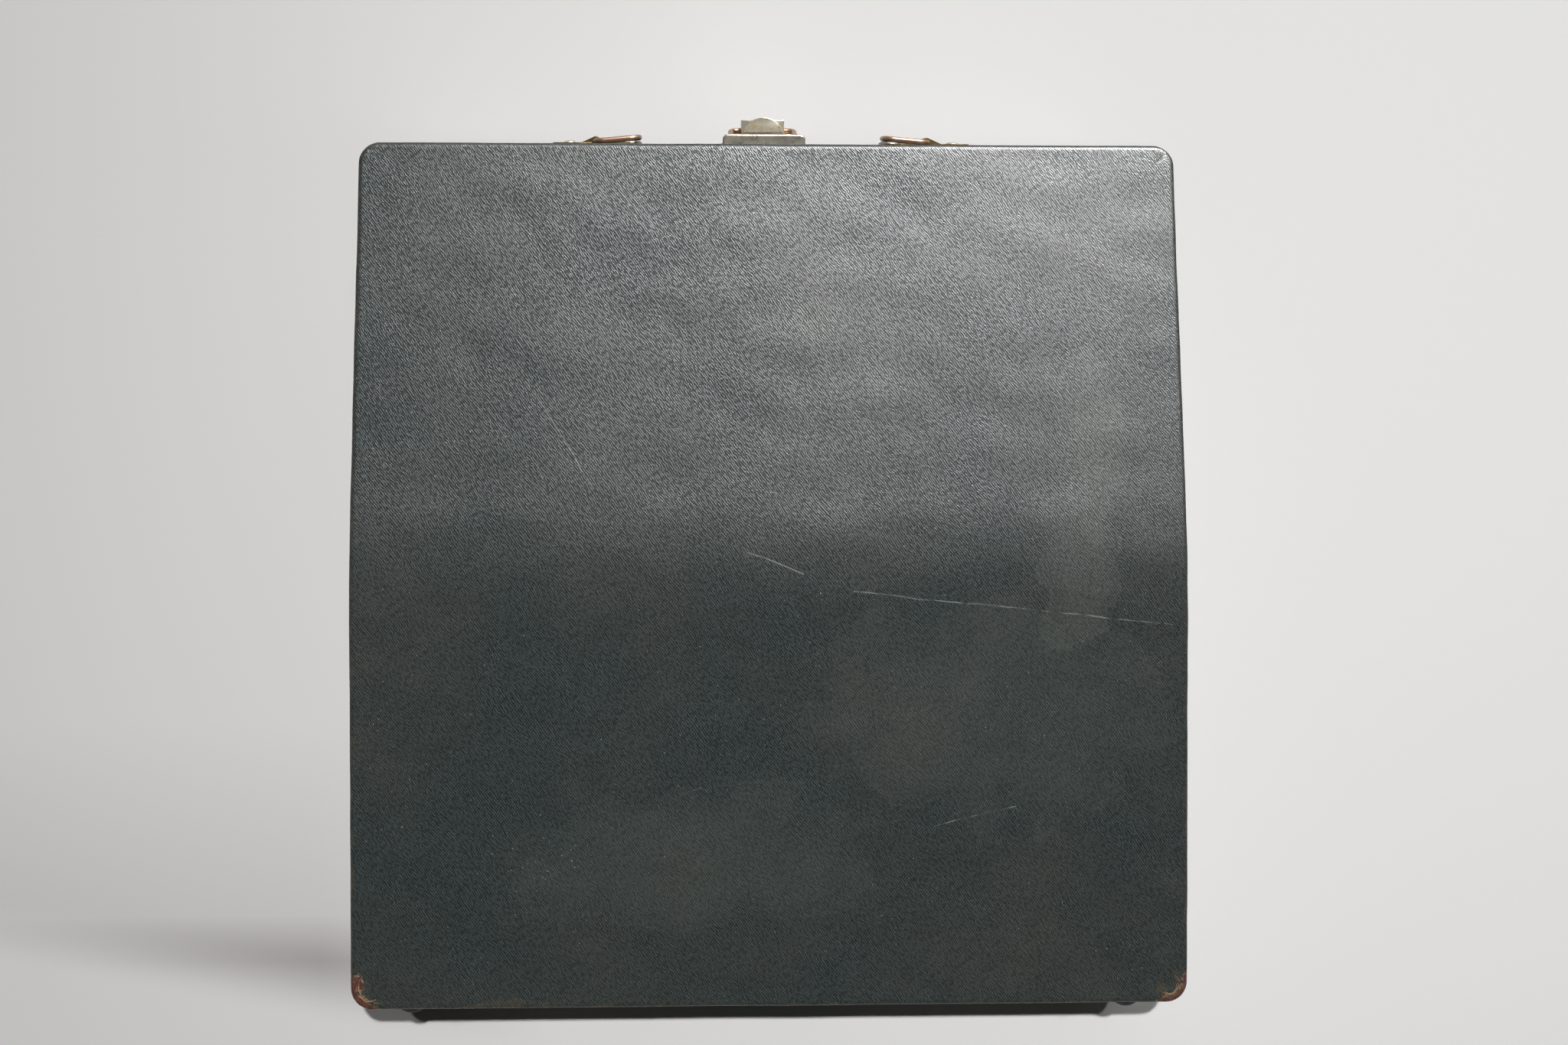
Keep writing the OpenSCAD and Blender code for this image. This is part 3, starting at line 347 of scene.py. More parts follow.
    def paint(self, graph: Graph) -> Socket:
        """Dark coating, lighter on its ridges, with dried water marks, one partly a painted reflection, dusty
        specks, scratches and bare fibre at worn corners.

        Args:
            graph: the material's tree.

        Returns:
            The shader.
        """
        place = graph.add("UVMap", uv_map=UNFOLD) if self.unfolded else graph.place
        height = self.ridges(graph, place)
        base = graph.add("Mix", {0: height, 6: colour(self.deep), 7: colour(self.ridge)}, out=2,
                         data_type="RGBA")
        clouds = graph.add("TexNoise", {"Vector": graph.place, "Scale": 1 / (self.cloud_mm * MM),
                                        "Detail": 4.0, "Roughness": 0.6})
        clouds = graph.add("MapRange", {"Value": clouds, "From Min": 0.4, "From Max": 0.7, "To Max": 0.3})
        base = graph.add("Mix", {0: clouds, 6: base, 7: colour(self.tint)}, out=2, data_type="RGBA")
        mottle = graph.add("TexNoise", {"Vector": graph.place, "Scale": 1 / (self.mottle_mm * MM),
                                        "Detail": 5.0, "Roughness": 0.7})
        mottle = graph.add("MapRange", {"Value": mottle, "From Min": 0.25, "From Max": 0.75, "To Min": 0.78,
                                        "To Max": 1.2})
        base = graph.add("Mix", {0: 1.0, 6: base, 7: mottle}, out=2, data_type="RGBA", blend_type="MULTIPLY")
        rough = graph.add("MapRange", {"Value": clouds, "From Max": 0.3, "To Min": 0.37, "To Max": 0.41})
        # pale marks where water has dried, one of them partly a painted reflection
        for mark in self.stains_and_reflection:
            base = graph.add("Mix", {0: self.stain_and_reflection_mask(graph, mark), 6: base, 7: colour(self.dust_and_reflection)}, out=2,
                             data_type="RGBA")
        for stroke in self.strokes:
            line = graph.add("Math", {0: self.scratch(graph, stroke), 1: 0.55}, operation="MULTIPLY")
            base = graph.add("Mix", {0: line, 6: base, 7: colour(self.dust_and_reflection)}, out=2, data_type="RGBA")
        if self.unfolded:
            base, rough, height = self.age(graph, place, base, rough, height)
        specks = graph.add("TexNoise", {"Vector": graph.place, "Scale": 1 / (self.speck_mm * MM),
                                        "Detail": 0.0})
        sparse = graph.add("TexNoise", {"Vector": graph.place, "Scale": 1 / (self.sparse_mm * MM),
                                        "Detail": 2.0})
        specks = graph.add("Math", {0: sparse, 1: 0.25, 2: specks}, operation="MULTIPLY_ADD")
        specks = graph.add("MapRange", {"Value": specks, "From Min": 0.985, "From Max": 1.01, "To Max": 0.6})
        base = graph.add("Mix", {0: specks, 6: base, 7: colour(self.dust_and_reflection)}, out=2, data_type="RGBA")
        bump = graph.add("Bump", {"Height": height, "Strength": 1.0, "Distance": self.depth_mm * MM})
        sheen = graph.add("MapRange", {"Value": height, "From Min": 0.05, "From Max": 0.7, "To Min": 0.3,
                                       "To Max": 1.0})
        return graph.add("BsdfPrincipled", {"Base Color": base, "Roughness": rough, "Normal": bump,
                                            "Specular IOR Level": sheen})

    def age(self, graph: Graph, place: Socket, base: Socket,
            rough: Socket, height: Socket) -> tuple[Socket, ...]:
        """Rubs the edges brown and bares the fibre where the piece's own mask says so, past a ragged limit.

        Args:
            graph: the material's tree.
            place: the unfolded coordinates in metres.
            base: the cloth's colour.
            rough: its roughness.
            height: its relief.

        Returns:
            The colour, the roughness and the relief with the wear.
        """
        edge = graph.add("Attribute", out="Fac", attribute_name=WEAR)
        ragged = graph.add("TexNoise", {"Vector": graph.place, "Scale": 1 / (self.tear_mm * MM),
                                        "Detail": 6.0, "Roughness": 0.7})
        rubbed = graph.add("Math", {0: edge, 1: ragged}, operation="MULTIPLY")
        rubbed = graph.add("MapRange", {"Value": rubbed, "From Min": 0.4, "From Max": 0.62, "To Max": 0.55})
        base = graph.add("Mix", {0: rubbed, 6: base, 7: colour(self.rubbed)}, out=2, data_type="RGBA")
        bare = graph.add("Attribute", out="Fac", attribute_name=BARE)
        torn = graph.add("Math", {0: ragged, 1: 0.9, 2: bare}, operation="MULTIPLY_ADD")
        fray = graph.add("MapRange", {"Value": torn, "From Min": 0.895, "From Max": 0.91, "To Max": 0.85})
        broken = graph.add("TexNoise", {"Vector": graph.place, "Scale": 1 / (self.broken_mm * MM),
                                        "Detail": 2.0})
        broken = graph.add("MapRange", {"Value": broken, "From Min": 0.46, "From Max": 0.58})
        fray = graph.add("Math", {0: fray, 1: broken}, operation="MULTIPLY")
        open_patch = graph.add("MapRange", {"Value": torn, "From Min": 0.915, "From Max": 0.94})
        wide, long = self.strand_mm
        strands = graph.add("Mapping", {"Vector": place, "Rotation": (0, 0, 0.6),
                                        "Scale": (1 / (wide * MM), 1 / (long * MM), 1)})
        strands = graph.add("TexNoise", {"Vector": strands, "Scale": 1.0, "Detail": 4.0, "Roughness": 0.7})
        streak = graph.add("MapRange", {"Value": strands, "From Min": 0.44, "From Max": 0.68})
        wood = graph.add("Mix", {0: streak, 6: colour(self.char), 7: colour(self.fibre)}, out=2,
                         data_type="RGBA")
        base = graph.add("Mix", {0: fray, 6: base, 7: colour(self.thread)}, out=2, data_type="RGBA")
        base = graph.add("Mix", {0: open_patch, 6: base, 7: wood}, out=2, data_type="RGBA")
        rough = graph.add("Mix", {0: fray, 2: rough, 3: 0.85}, data_type="FLOAT")
        height = graph.add("Mix", {0: open_patch, 2: height, 3: strands}, data_type="FLOAT")
        return base, rough, height


@dataclass(frozen=True)
class WornNickel(Finish):
    """Nickel plate on brass or steel, yellowed and pitted: warm grey, dull in patches, rust in its pits.

    Real pits are finer; they are drawn as coarse as is needed for them to show.
    """

    bright: str = "#c9c3b2"
    dull: str = "#96896a"
    rust: str = "#6b4627"
    age: float = 0.5
    patch_mm: float = 5.0
    pit_mm: float = 0.8

    def paint(self, graph: Graph) -> Socket:
        """Mixes bright and tarnished plate with fine dark pits.

        Args:
            graph: the material's tree.

        Returns:
            The shader.
        """
        patches = graph.add("TexNoise", {"Vector": graph.place, "Scale": 1 / (self.patch_mm * MM),
                                         "Detail": 5.0, "Roughness": 0.65})
        low = 0.75 - 0.5 * self.age
        dull = graph.add("MapRange", {"Value": patches, "From Min": low, "From Max": low + 0.2})
        base = graph.add("Mix", {0: dull, 6: colour(self.bright), 7: colour(self.dull)}, out=2,
                         data_type="RGBA")
        fine = graph.add("TexNoise", {"Vector": graph.place, "Scale": 1 / (self.pit_mm * MM),
                                      "Detail": 3.0})
        pits = graph.add("Math", {0: patches, 1: 0.35, 2: fine}, operation="MULTIPLY_ADD")
        pits = graph.add("MapRange", {"Value": pits, "From Min": 0.84 - 0.1 * self.age, "From Max": 0.95})
        base = graph.add("Mix", {0: pits, 6: base, 7: colour(self.rust)}, out=2, data_type="RGBA")
        rough = graph.add("MapRange", {"Value": patches, "From Min": 0.3, "From Max": 0.7, "To Min": 0.22,
                                       "To Max": 0.52})
        metal = graph.add("MapRange", {"Value": pits, "To Min": 1.0, "To Max": 0.2})
        sunk = graph.add("Math", {0: 1.0, 1: pits}, operation="SUBTRACT")
        bump = graph.add("Bump", {"Height": sunk, "Strength": 0.5, "Distance": 0.1 * MM})
        return graph.add("BsdfPrincipled", {"Base Color": base, "Metallic": metal, "Roughness": rough,
                                            "Normal": bump})


@dataclass(frozen=True)
class BronzedWire(Finish):
    """Steel wire with an oxidised bronze lacquer: glossy red-brown, with lighter rubbed streaks."""

    dark: str = "#2c1b14"
    rubbed: str = "#5d4131"
    streak_mm: float = 2.0

    def paint(self, graph: Graph) -> Socket:
        """Brown lacquer with lighter streaks and specks.

        Args:
            graph: the material's tree.

        Returns:
            The shader.
        """
        streaks = graph.add("TexNoise", {"Vector": graph.place, "Scale": 1 / (self.streak_mm * MM),
                                         "Detail": 4.0})
        base = graph.add("Mix", {0: streaks, 6: colour(self.dark), 7: colour(self.rubbed)}, out=2,
                         data_type="RGBA")
        bump = graph.add("Bump", {"Height": streaks, "Strength": 0.3, "Distance": 0.08 * MM})
        return graph.add("BsdfPrincipled", {"Base Color": base, "Metallic": 0.1, "Roughness": 0.36,
                                            "Normal": bump})


@dataclass(frozen=True)
class Rubber(Finish):
    """Vulcanised rubber: near black, dull, a little grey where it is rubbed.

    Its grit is drawn coarser than it is, so that it shows.
    """

    dark: str = "#0c0c0c"
    pale: str = "#1d1c1b"
    gloss: float = 0.7
    scuff_mm: float = 4.0
    grit_mm: float = 0.4

    def paint(self, graph: Graph) -> Socket:
        """Black with faint grey scuffs and a fine grit.

        Args:
            graph: the material's tree.

        Returns:
            The shader.
        """
        scuffs = graph.add("TexNoise", {"Vector": graph.place, "Scale": 1 / (self.scuff_mm * MM),
                                        "Detail": 4.0})
        scuffs = graph.add("MapRange", {"Value": scuffs, "From Min": 0.4, "From Max": 0.75})
        base = graph.add("Mix", {0: scuffs, 6: colour(self.dark), 7: colour(self.pale)}, out=2,
                         data_type="RGBA")
        grit = graph.add("TexNoise", {"Vector": graph.place, "Scale": 1 / (self.grit_mm * MM),
                                      "Detail": 1.0})
        bump = graph.add("Bump", {"Height": grit, "Strength": 0.25, "Distance": 0.05 * MM})
        return graph.add("BsdfPrincipled", {"Base Color": base, "Roughness": self.gloss, "Normal": bump})


@dataclass(frozen=True)
class Enamel(Finish):
    """Stoved enamel on sheet steel: a half-gloss skin, wrinkled or smooth, with pale chips."""

    body: str = "#46524b"
    chip: str = "#8f958d"
    wrinkle_mm: float = 0.9
    depth_mm: float = 0.12
    gloss: float = 0.42
    tone_mm: float = 40.0
    chip_mm: float = 3.5

    def paint(self, graph: Graph) -> Socket:
        """Even paint with its wrinkle as bump and small chips.

        Args:
            graph: the material's tree.

        Returns:
            The shader.
        """
        cells = graph.add("TexVoronoi", {"Vector": graph.place, "Scale": 1 / (self.wrinkle_mm * MM)},
                          feature="SMOOTH_F1")
        tone = graph.add("TexNoise", {"Vector": graph.place, "Scale": 1 / (self.tone_mm * MM),
                                      "Detail": 3.0})
        tone = graph.add("MapRange", {"Value": tone, "To Min": 0.86, "To Max": 1.12})
        base = graph.add("Mix", {0: 1.0, 6: colour(self.body), 7: tone}, out=2, data_type="RGBA",
                         blend_type="MULTIPLY")
        chips = graph.add("TexNoise", {"Vector": graph.place, "Scale": 1 / (self.chip_mm * MM),
                                       "Detail": 3.0})
        chips = graph.add("MapRange", {"Value": chips, "From Min": 0.77, "From Max": 0.8, "To Max": 0.8})
        base = graph.add("Mix", {0: chips, 6: base, 7: colour(self.chip)}, out=2, data_type="RGBA")
        bump = graph.add("Bump", {"Height": cells, "Strength": 0.6, "Distance": self.depth_mm * MM})
        return graph.add("BsdfPrincipled", {"Base Color": base, "Roughness": self.gloss, "Normal": bump})


@dataclass(frozen=True)
class BrushedSteel(Finish):
    """Plain steel, ground along x and lightly oiled: fine streaks, brownish film in places.

    Real grinding marks are much finer; they are drawn as coarse as is needed for them to show.
    """

    bright: str = "#bdbcb8"
    film: str = "#857a66"
    gloss: float = 0.3
    streak_mm: tuple[float, float] = (20.0, 0.35)
    film_mm: float = 12.0

    def paint(self, graph: Graph) -> Socket:
        """Streaks drawn out along x, with a thin film over them.

        Args:
            graph: the material's tree.

        Returns:
            The shader.
        """
        long, fine = self.streak_mm
        drawn = graph.add("Mapping", {"Vector": graph.place,
                                      "Scale": (1 / (long * MM), 1 / (fine * MM), 1 / (fine * MM))})
        streaks = graph.add("TexNoise", {"Vector": drawn, "Scale": 1.0, "Detail": 2.0})
        film = graph.add("TexNoise", {"Vector": graph.place, "Scale": 1 / (self.film_mm * MM),
                                      "Detail": 4.0})
        film = graph.add("MapRange", {"Value": film, "From Min": 0.45, "From Max": 0.75})
        base = graph.add("Mix", {0: film, 6: colour(self.bright), 7: colour(self.film)}, out=2,
                         data_type="RGBA")
        rough = graph.add("MapRange", {"Value": streaks, "To Min": self.gloss - 0.08,
                                       "To Max": self.gloss + 0.16})
        bump = graph.add("Bump", {"Height": streaks, "Strength": 0.2, "Distance": 0.03 * MM})
        return graph.add("BsdfPrincipled", {"Base Color": base, "Metallic": 1.0, "Roughness": rough,
                                            "Normal": bump})


@dataclass(frozen=True)
class MouldedPlastic(Finish):
    """Pressed phenolic or urea plastic: smooth, glossy, with faint flow clouds and a polish that varies with
    them.
    """

    body: str = "#1f3328"
    cloud: str = "#2b4436"
    gloss: float = 0.24
    cloud_mm: float = 7.0

    def paint(self, graph: Graph) -> Socket:
        """Clouded colour with a soft polish that varies.

        Args:
            graph: the material's tree.

        Returns:
            The shader.
        """
        clouds = graph.add("TexNoise", {"Vector": graph.place, "Scale": 1 / (self.cloud_mm * MM),
                                        "Detail": 3.0})
        base = graph.add("Mix", {0: clouds, 6: colour(self.body), 7: colour(self.cloud)}, out=2,
                         data_type="RGBA")
        rough = graph.add("MapRange", {"Value": clouds, "From Min": 0.3, "From Max": 0.7,
                                       "To Min": self.gloss, "To Max": self.gloss + 0.18})
        return graph.add("BsdfPrincipled", {"Base Color": base, "Roughness": rough, "IOR": 1.55})


@dataclass(frozen=True)
class WovenCloth(Finish):
    """Plain woven cloth: two sets of threads over and under, matt, with a soft nap.

    Real threads are about half as wide; they are drawn as coarse as is needed for them to show.
    """

    warp: str = "#57554b"
    weft: str = "#45443c"
    thread_mm: float = 0.7
    nap: float = 0.3
    rise: tuple[float, float] = (0.83, 0.71)
    blotch_mm: float = 30.0

    def paint(self, graph: Graph) -> Socket:
        """Product of two sines, along x and along y, with blotches.

        A share of the height is added to x and to y, so that the threads also show on walls.

        Args:
            graph: the material's tree.

        Returns:
            The shader.
        """
        height = graph.add("SeparateXYZ", {"Vector": graph.place}, out="Z")
        waves = []
        for axis, share in zip("XY", self.rise):
            run = graph.add("SeparateXYZ", {"Vector": graph.place}, out=axis)
            run = graph.add("Math", {0: height, 1: share, 2: run}, operation="MULTIPLY_ADD")
            run = graph.add("Math", {0: run, 1: math.pi / (self.thread_mm * MM)}, operation="MULTIPLY")
            waves.append(graph.add("Math", {0: run}, operation="SINE"))
        weave = graph.add("Math", {0: waves[0], 1: waves[1]}, operation="MULTIPLY")
        weave = graph.add("MapRange", {"Value": weave, "From Min": -1.0})
        base = graph.add("Mix", {0: weave, 6: colour(self.weft), 7: colour(self.warp)}, out=2,
                         data_type="RGBA")
        blotch = graph.add("TexNoise", {"Vector": graph.place, "Scale": 1 / (self.blotch_mm * MM),
                                        "Detail": 5.0})
        blotch = graph.add("MapRange", {"Value": blotch, "To Min": 0.75, "To Max": 1.2})
        base = graph.add("Mix", {0: 1.0, 6: base, 7: blotch}, out=2, data_type="RGBA", blend_type="MULTIPLY")
        bump = graph.add("Bump", {"Height": weave, "Strength": 0.5, "Distance": 0.15 * MM})
        return graph.add("BsdfPrincipled", {"Base Color": base, "Roughness": 0.92, "Normal": bump,
                                            "Sheen Weight": self.nap, "Specular IOR Level": 0.2})


@dataclass(frozen=True)
class StudioPaper(Finish):
    """Pale matt paper: the floor and, far from the object, a backdrop that needs no lamp.

    It carries a painted shadow, the soft shade that lies low at the left in the photograph, from the line
    where the backdrop meets the table to a slanting lower limit. Its colour also darkens towards +x, as
    painted light.
    """

    # painted light: shaded is the paper's colour at +x and pale its colour at -x, with a painted falloff of
    # light between them
    shaded: str = "#d3d1d0"
    pale: str = "#f5f4f3"
    # painted shadow: shadow is its colour; shade, table_m and the shade_ fields give its strength and its
    # bounds
    shadow: str = "#6f6966"
    backdrop: str = "#dcdbda"
    half_width_m: float = 0.4
    shade: float = 0.62
    table_m: float = 0.174
    shade_end_m: float = 0.263
    shade_soft_m: float = 0.034
    shade_slant: float = 0.2
    near_m: float = 0.45
    far_m: float = 1.3

    def paint(self, graph: Graph) -> Socket:
        """Matt paper, paler towards -x as painted light, with its painted shadow, that turns into plain
        backdrop with the distance.

        Args:
            graph: the material's tree.

        Returns:
            The shader.
        """
        across = graph.add("SeparateXYZ", {"Vector": graph.place}, out="X")
        down = graph.add("SeparateXYZ", {"Vector": graph.place}, out="Y")
        # painted light: the colour runs from darker at +x to paler at -x
        share = graph.add("MapRange", {"Value": across, "From Min": self.half_width_m,
                                       "From Max": -self.half_width_m})
        base = graph.add("Mix", {0: share, 6: colour(self.shaded), 7: colour(self.pale)}, out=2,
                         data_type="RGBA")
        # painted shadow low at the left: from the table line down to a slanting limit, left of the case only
        slanted = graph.add("Math", {0: across, 1: self.shade_slant, 2: down}, operation="MULTIPLY_ADD")
        shade = graph.add("MapRange", {"Value": slanted, "From Min": self.shade_end_m - self.shade_soft_m,
                                       "From Max": self.shade_end_m, "To Min": self.shade, "To Max": 0.0},
                          interpolation_type="SMOOTHSTEP")
        wall = graph.add("MapRange", {"Value": down, "From Min": self.table_m - 0.09,
                                      "From Max": self.table_m, "To Max": 0.3})
        table = graph.add("MapRange", {"Value": down, "From Min": self.table_m - 0.001,
                                       "From Max": self.table_m + 0.02, "To Max": 0.7})
        both = graph.add("Math", {0: wall, 1: table}, operation="ADD")
        left = graph.add("MapRange", {"Value": across, "From Min": 0.1, "From Max": 0.2})
        for limit in (both, left):
            shade = graph.add("Math", {0: shade, 1: limit}, operation="MULTIPLY")
        base = graph.add("Mix", {0: shade, 6: base, 7: colour(self.shadow)}, out=2, data_type="RGBA")
        paper = graph.add("BsdfPrincipled", {"Base Color": base, "Roughness": 0.9, "Specular IOR Level": 0.1})
        backdrop = graph.add("Emission", {"Color": colour(self.backdrop), "Strength": 1.0})
        reach = graph.add("VectorMath", {0: graph.place}, out="Value", operation="LENGTH")
        far = graph.add("MapRange", {"Value": reach, "From Min": self.near_m, "From Max": self.far_m},
                        interpolation_type="SMOOTHSTEP")
        for ray in ("Is Diffuse Ray", "Is Shadow Ray"):
            lit = graph.add("LightPath", out=ray)
            seen = graph.add("Math", {0: 1.0, 1: lit}, operation="SUBTRACT")
            far = graph.add("Math", {0: far, 1: seen}, operation="MULTIPLY")
        return graph.add("MixShader", {0: far, 1: paper, 2: backdrop})


# Pale marks where water has dried; the fourth, wide and low near the back edge, is partly a painted
# reflection that lightens the cloth there.
STAINS_AND_REFLECTION = (Mark(-124, -40, 14, 44, 0.05, 0.10), Mark(-118, 8, 20, 34, 0.06, 0.09),
          Mark(-84, 66, 70, 46, 0.05, 0.05), Mark(30, 120, 80, 30, 0.04, 0.05),
          Mark(-28, -70, 26, 60, 0.04, 0.05))
STROKES = (Stroke((-29, 20), (-152, 33), 0.35), Stroke((12, 4), (-10, 13), 0.4),
           Stroke((96, -60), (70, -20), 0.25), Stroke((-60, 110), (-92, 102), 0.25))
CLOTH = GrainedLeathercloth("embossed_leathercloth", stains_and_reflection=STAINS_AND_REFLECTION, strokes=STROKES)
TURNED_CLOTH = GrainedLeathercloth("turned_in_leathercloth", unfolded=False)
LINING = WovenCloth("cotton_lining")
FRAYED = WovenCloth("frayed_cotton", warp="#b59a70", weft="#8a6a45", thread_mm=0.5)
NICKEL = WornNickel("worn_nickel_plate")
STAINED_NICKEL = WornNickel("stained_nickel_plate", bright="#b9b4a6", dull="#958c78", rust="#6b4628", age=0.5)
KHAKI_METAL = WornNickel("aged_brass_plate", bright="#9c8e68", dull="#6d5d3d", rust="#3d2717", age=0.9)
PITTED = WornNickel("pitted_nickel_plate", bright="#8f8e86", dull="#55534c", rust="#1c1511", age=1.0)
PALE_METAL = WornNickel("chalky_zinc_plate", bright="#d6d2c4", dull="#b4ad98", rust="#8a7a60", age=0.6)
WIRE = BronzedWire("bronzed_wire")
RUBBER = Rubber("black_rubber")
PLATEN_RUBBER = Rubber("ground_platen_rubber", dark="#191a1b", pale="#333433", gloss=0.45)
ENAMEL = Enamel("wrinkled_enamel")
JAPAN = Enamel("black_japan", body="#0f0f10", chip="#5f5f5c", wrinkle_mm=3.0, depth_mm=0.03, gloss=0.25)
STEEL = BrushedSteel("ground_steel")
DARK_STEEL = BrushedSteel("blued_steel", bright="#6c6e70", film="#4a453c", gloss=0.34)
BRASS = BrushedSteel("plain_brass", bright="#c9a24f", film="#86682f", gloss=0.28)
KEY_PLASTIC = MouldedPlastic("green_key_plastic")
KNOB_PLASTIC = MouldedPlastic("black_knob_plastic", body="#0d0d0e", cloud="#18181a")
INKED = WovenCloth("inked_ribbon_cloth", warp="#17151c", weft="#0e0d12", thread_mm=0.3, nap=0.1)
PAPER = StudioPaper("pale_studio_paper")


def ripple(points: np.ndarray, size: float, seed: int, waves: int = 9) -> np.ndarray:
    """Smooth unevenness: the mean of sine waves that run in seeded directions.

    Args:
        points: places, one row each.
        size: the waves' length, in the points' unit.
        seed: which set of waves.
        waves: how many waves.

    Returns:
        One value for each point, from about -1 to 1.
    """
    rng = np.random.default_rng(seed)
    way = rng.normal(size=(waves, points.shape[1]))
    way /= np.linalg.norm(way, axis=1, keepdims=True)
    length = size * rng.uniform(0.6, 1.6, waves)
    phase = rng.uniform(0, 2 * np.pi, waves)
    return np.sin(2 * np.pi * (points @ way.T) / length + phase).sum(axis=1) / math.sqrt(waves)


def quads(rows: int, columns: int, wrap: bool = False) -> np.ndarray:
    """Faces of a grid of rows by columns points, row after row.

    Args:
        rows: points along the first parameter.
        columns: points along the second parameter.
        wrap: whether the second parameter closes on itself.

    Returns:
        Four point numbers for each face.
    """
    last = columns if wrap else columns - 1
    i, j = np.meshgrid(np.arange(rows - 1), np.arange(last), indexing="ij")
    k = (j + 1) % columns
    return np.stack([i * columns + j, i * columns + k, (i + 1) * columns + k, (i + 1) * columns + j],
                    axis=-1).reshape(-1, 4)


def make_piece(name: str, points: np.ndarray, faces: np.ndarray, finish: Finish,
               unfold: np.ndarray | None = None, values: dict[str, np.ndarray] | None = None,
               weld: bool = True) -> bpy.types.Object:
    """Makes a mesh object from whole arrays, welds its seams and points its faces outwards.

    Args:
        name: the piece's name.
        points: places in metres, one row each.
        faces: point numbers of each face.
        finish: the surface finish.
        unfold: flat coordinates in metres for each point, for patterns that follow the surface.
        values: named masks, one number for each point.
        weld: whether points that coincide are joined.

    Returns:
        The object, at the origin.
    """
    mesh = bpy.data.meshes.new(name)
    mesh.from_pydata(points.tolist(), [], faces.tolist())
    if unfold is not None:
        corners = np.zeros(len(mesh.loops), np.int32)
        mesh.loops.foreach_get("vertex_index", corners)
        layer = mesh.uv_layers.new(name=UNFOLD)
        layer.data.foreach_set("uv", unfold[corners].astype(np.float32).ravel())
    for key, value in (values or {}).items():
        attribute = mesh.attributes.new(key, "FLOAT", "POINT")
        attribute.data.foreach_set("value", value.astype(np.float32))
    if weld:
        shape = bmesh.new()
        shape.from_mesh(mesh)
        bmesh.ops.remove_doubles(shape, verts=shape.verts, dist=SEAM_WELD_MM * MM)
        bmesh.ops.recalc_face_normals(shape, faces=shape.faces)
        shape.to_mesh(mesh)
        shape.free()
    mesh.polygons.foreach_set("use_smooth", np.ones(len(mesh.polygons), bool))
    mesh.set_sharp_from_angle(angle=math.radians(SHARP_DEG))
    thing = bpy.data.objects.new(name, mesh)
    bpy.context.scene.collection.objects.link(thing)
    LOG.info("piece %s: %s, %d faces", name, finish.name, len(mesh.polygons))
    return finish.dress(thing)


def tube(path: np.ndarray, radius: np.ndarray | float, sides: int = 12) -> tuple[np.ndarray, np.ndarray]:
    """A circle carried along a path: at each point it lies square to the way that the path runs.

    Args:
        path: the path's points.
        radius: one radius, or one for each point.
        sides: points round the circle.

    Returns:
        The tube's points and faces, without its ends.
    """
    way = np.gradient(path, axis=0)
    way /= np.linalg.norm(way, axis=1, keepdims=True)
    side = np.cross(way, [0.31, 0.2, 0.93])
    side /= np.linalg.norm(side, axis=1, keepdims=True)
    other = np.cross(way, side)
    turn = np.linspace(0, 2 * np.pi, sides, endpoint=False)
    reach = np.broadcast_to(np.asarray(radius, float), (len(path),))[:, None, None]
    ring = np.cos(turn)[None, :, None] * side[:, None] + np.sin(turn)[None, :, None] * other[:, None]
    return (path[:, None] + reach * ring).reshape(-1, 3), quads(len(path), sides, wrap=True)


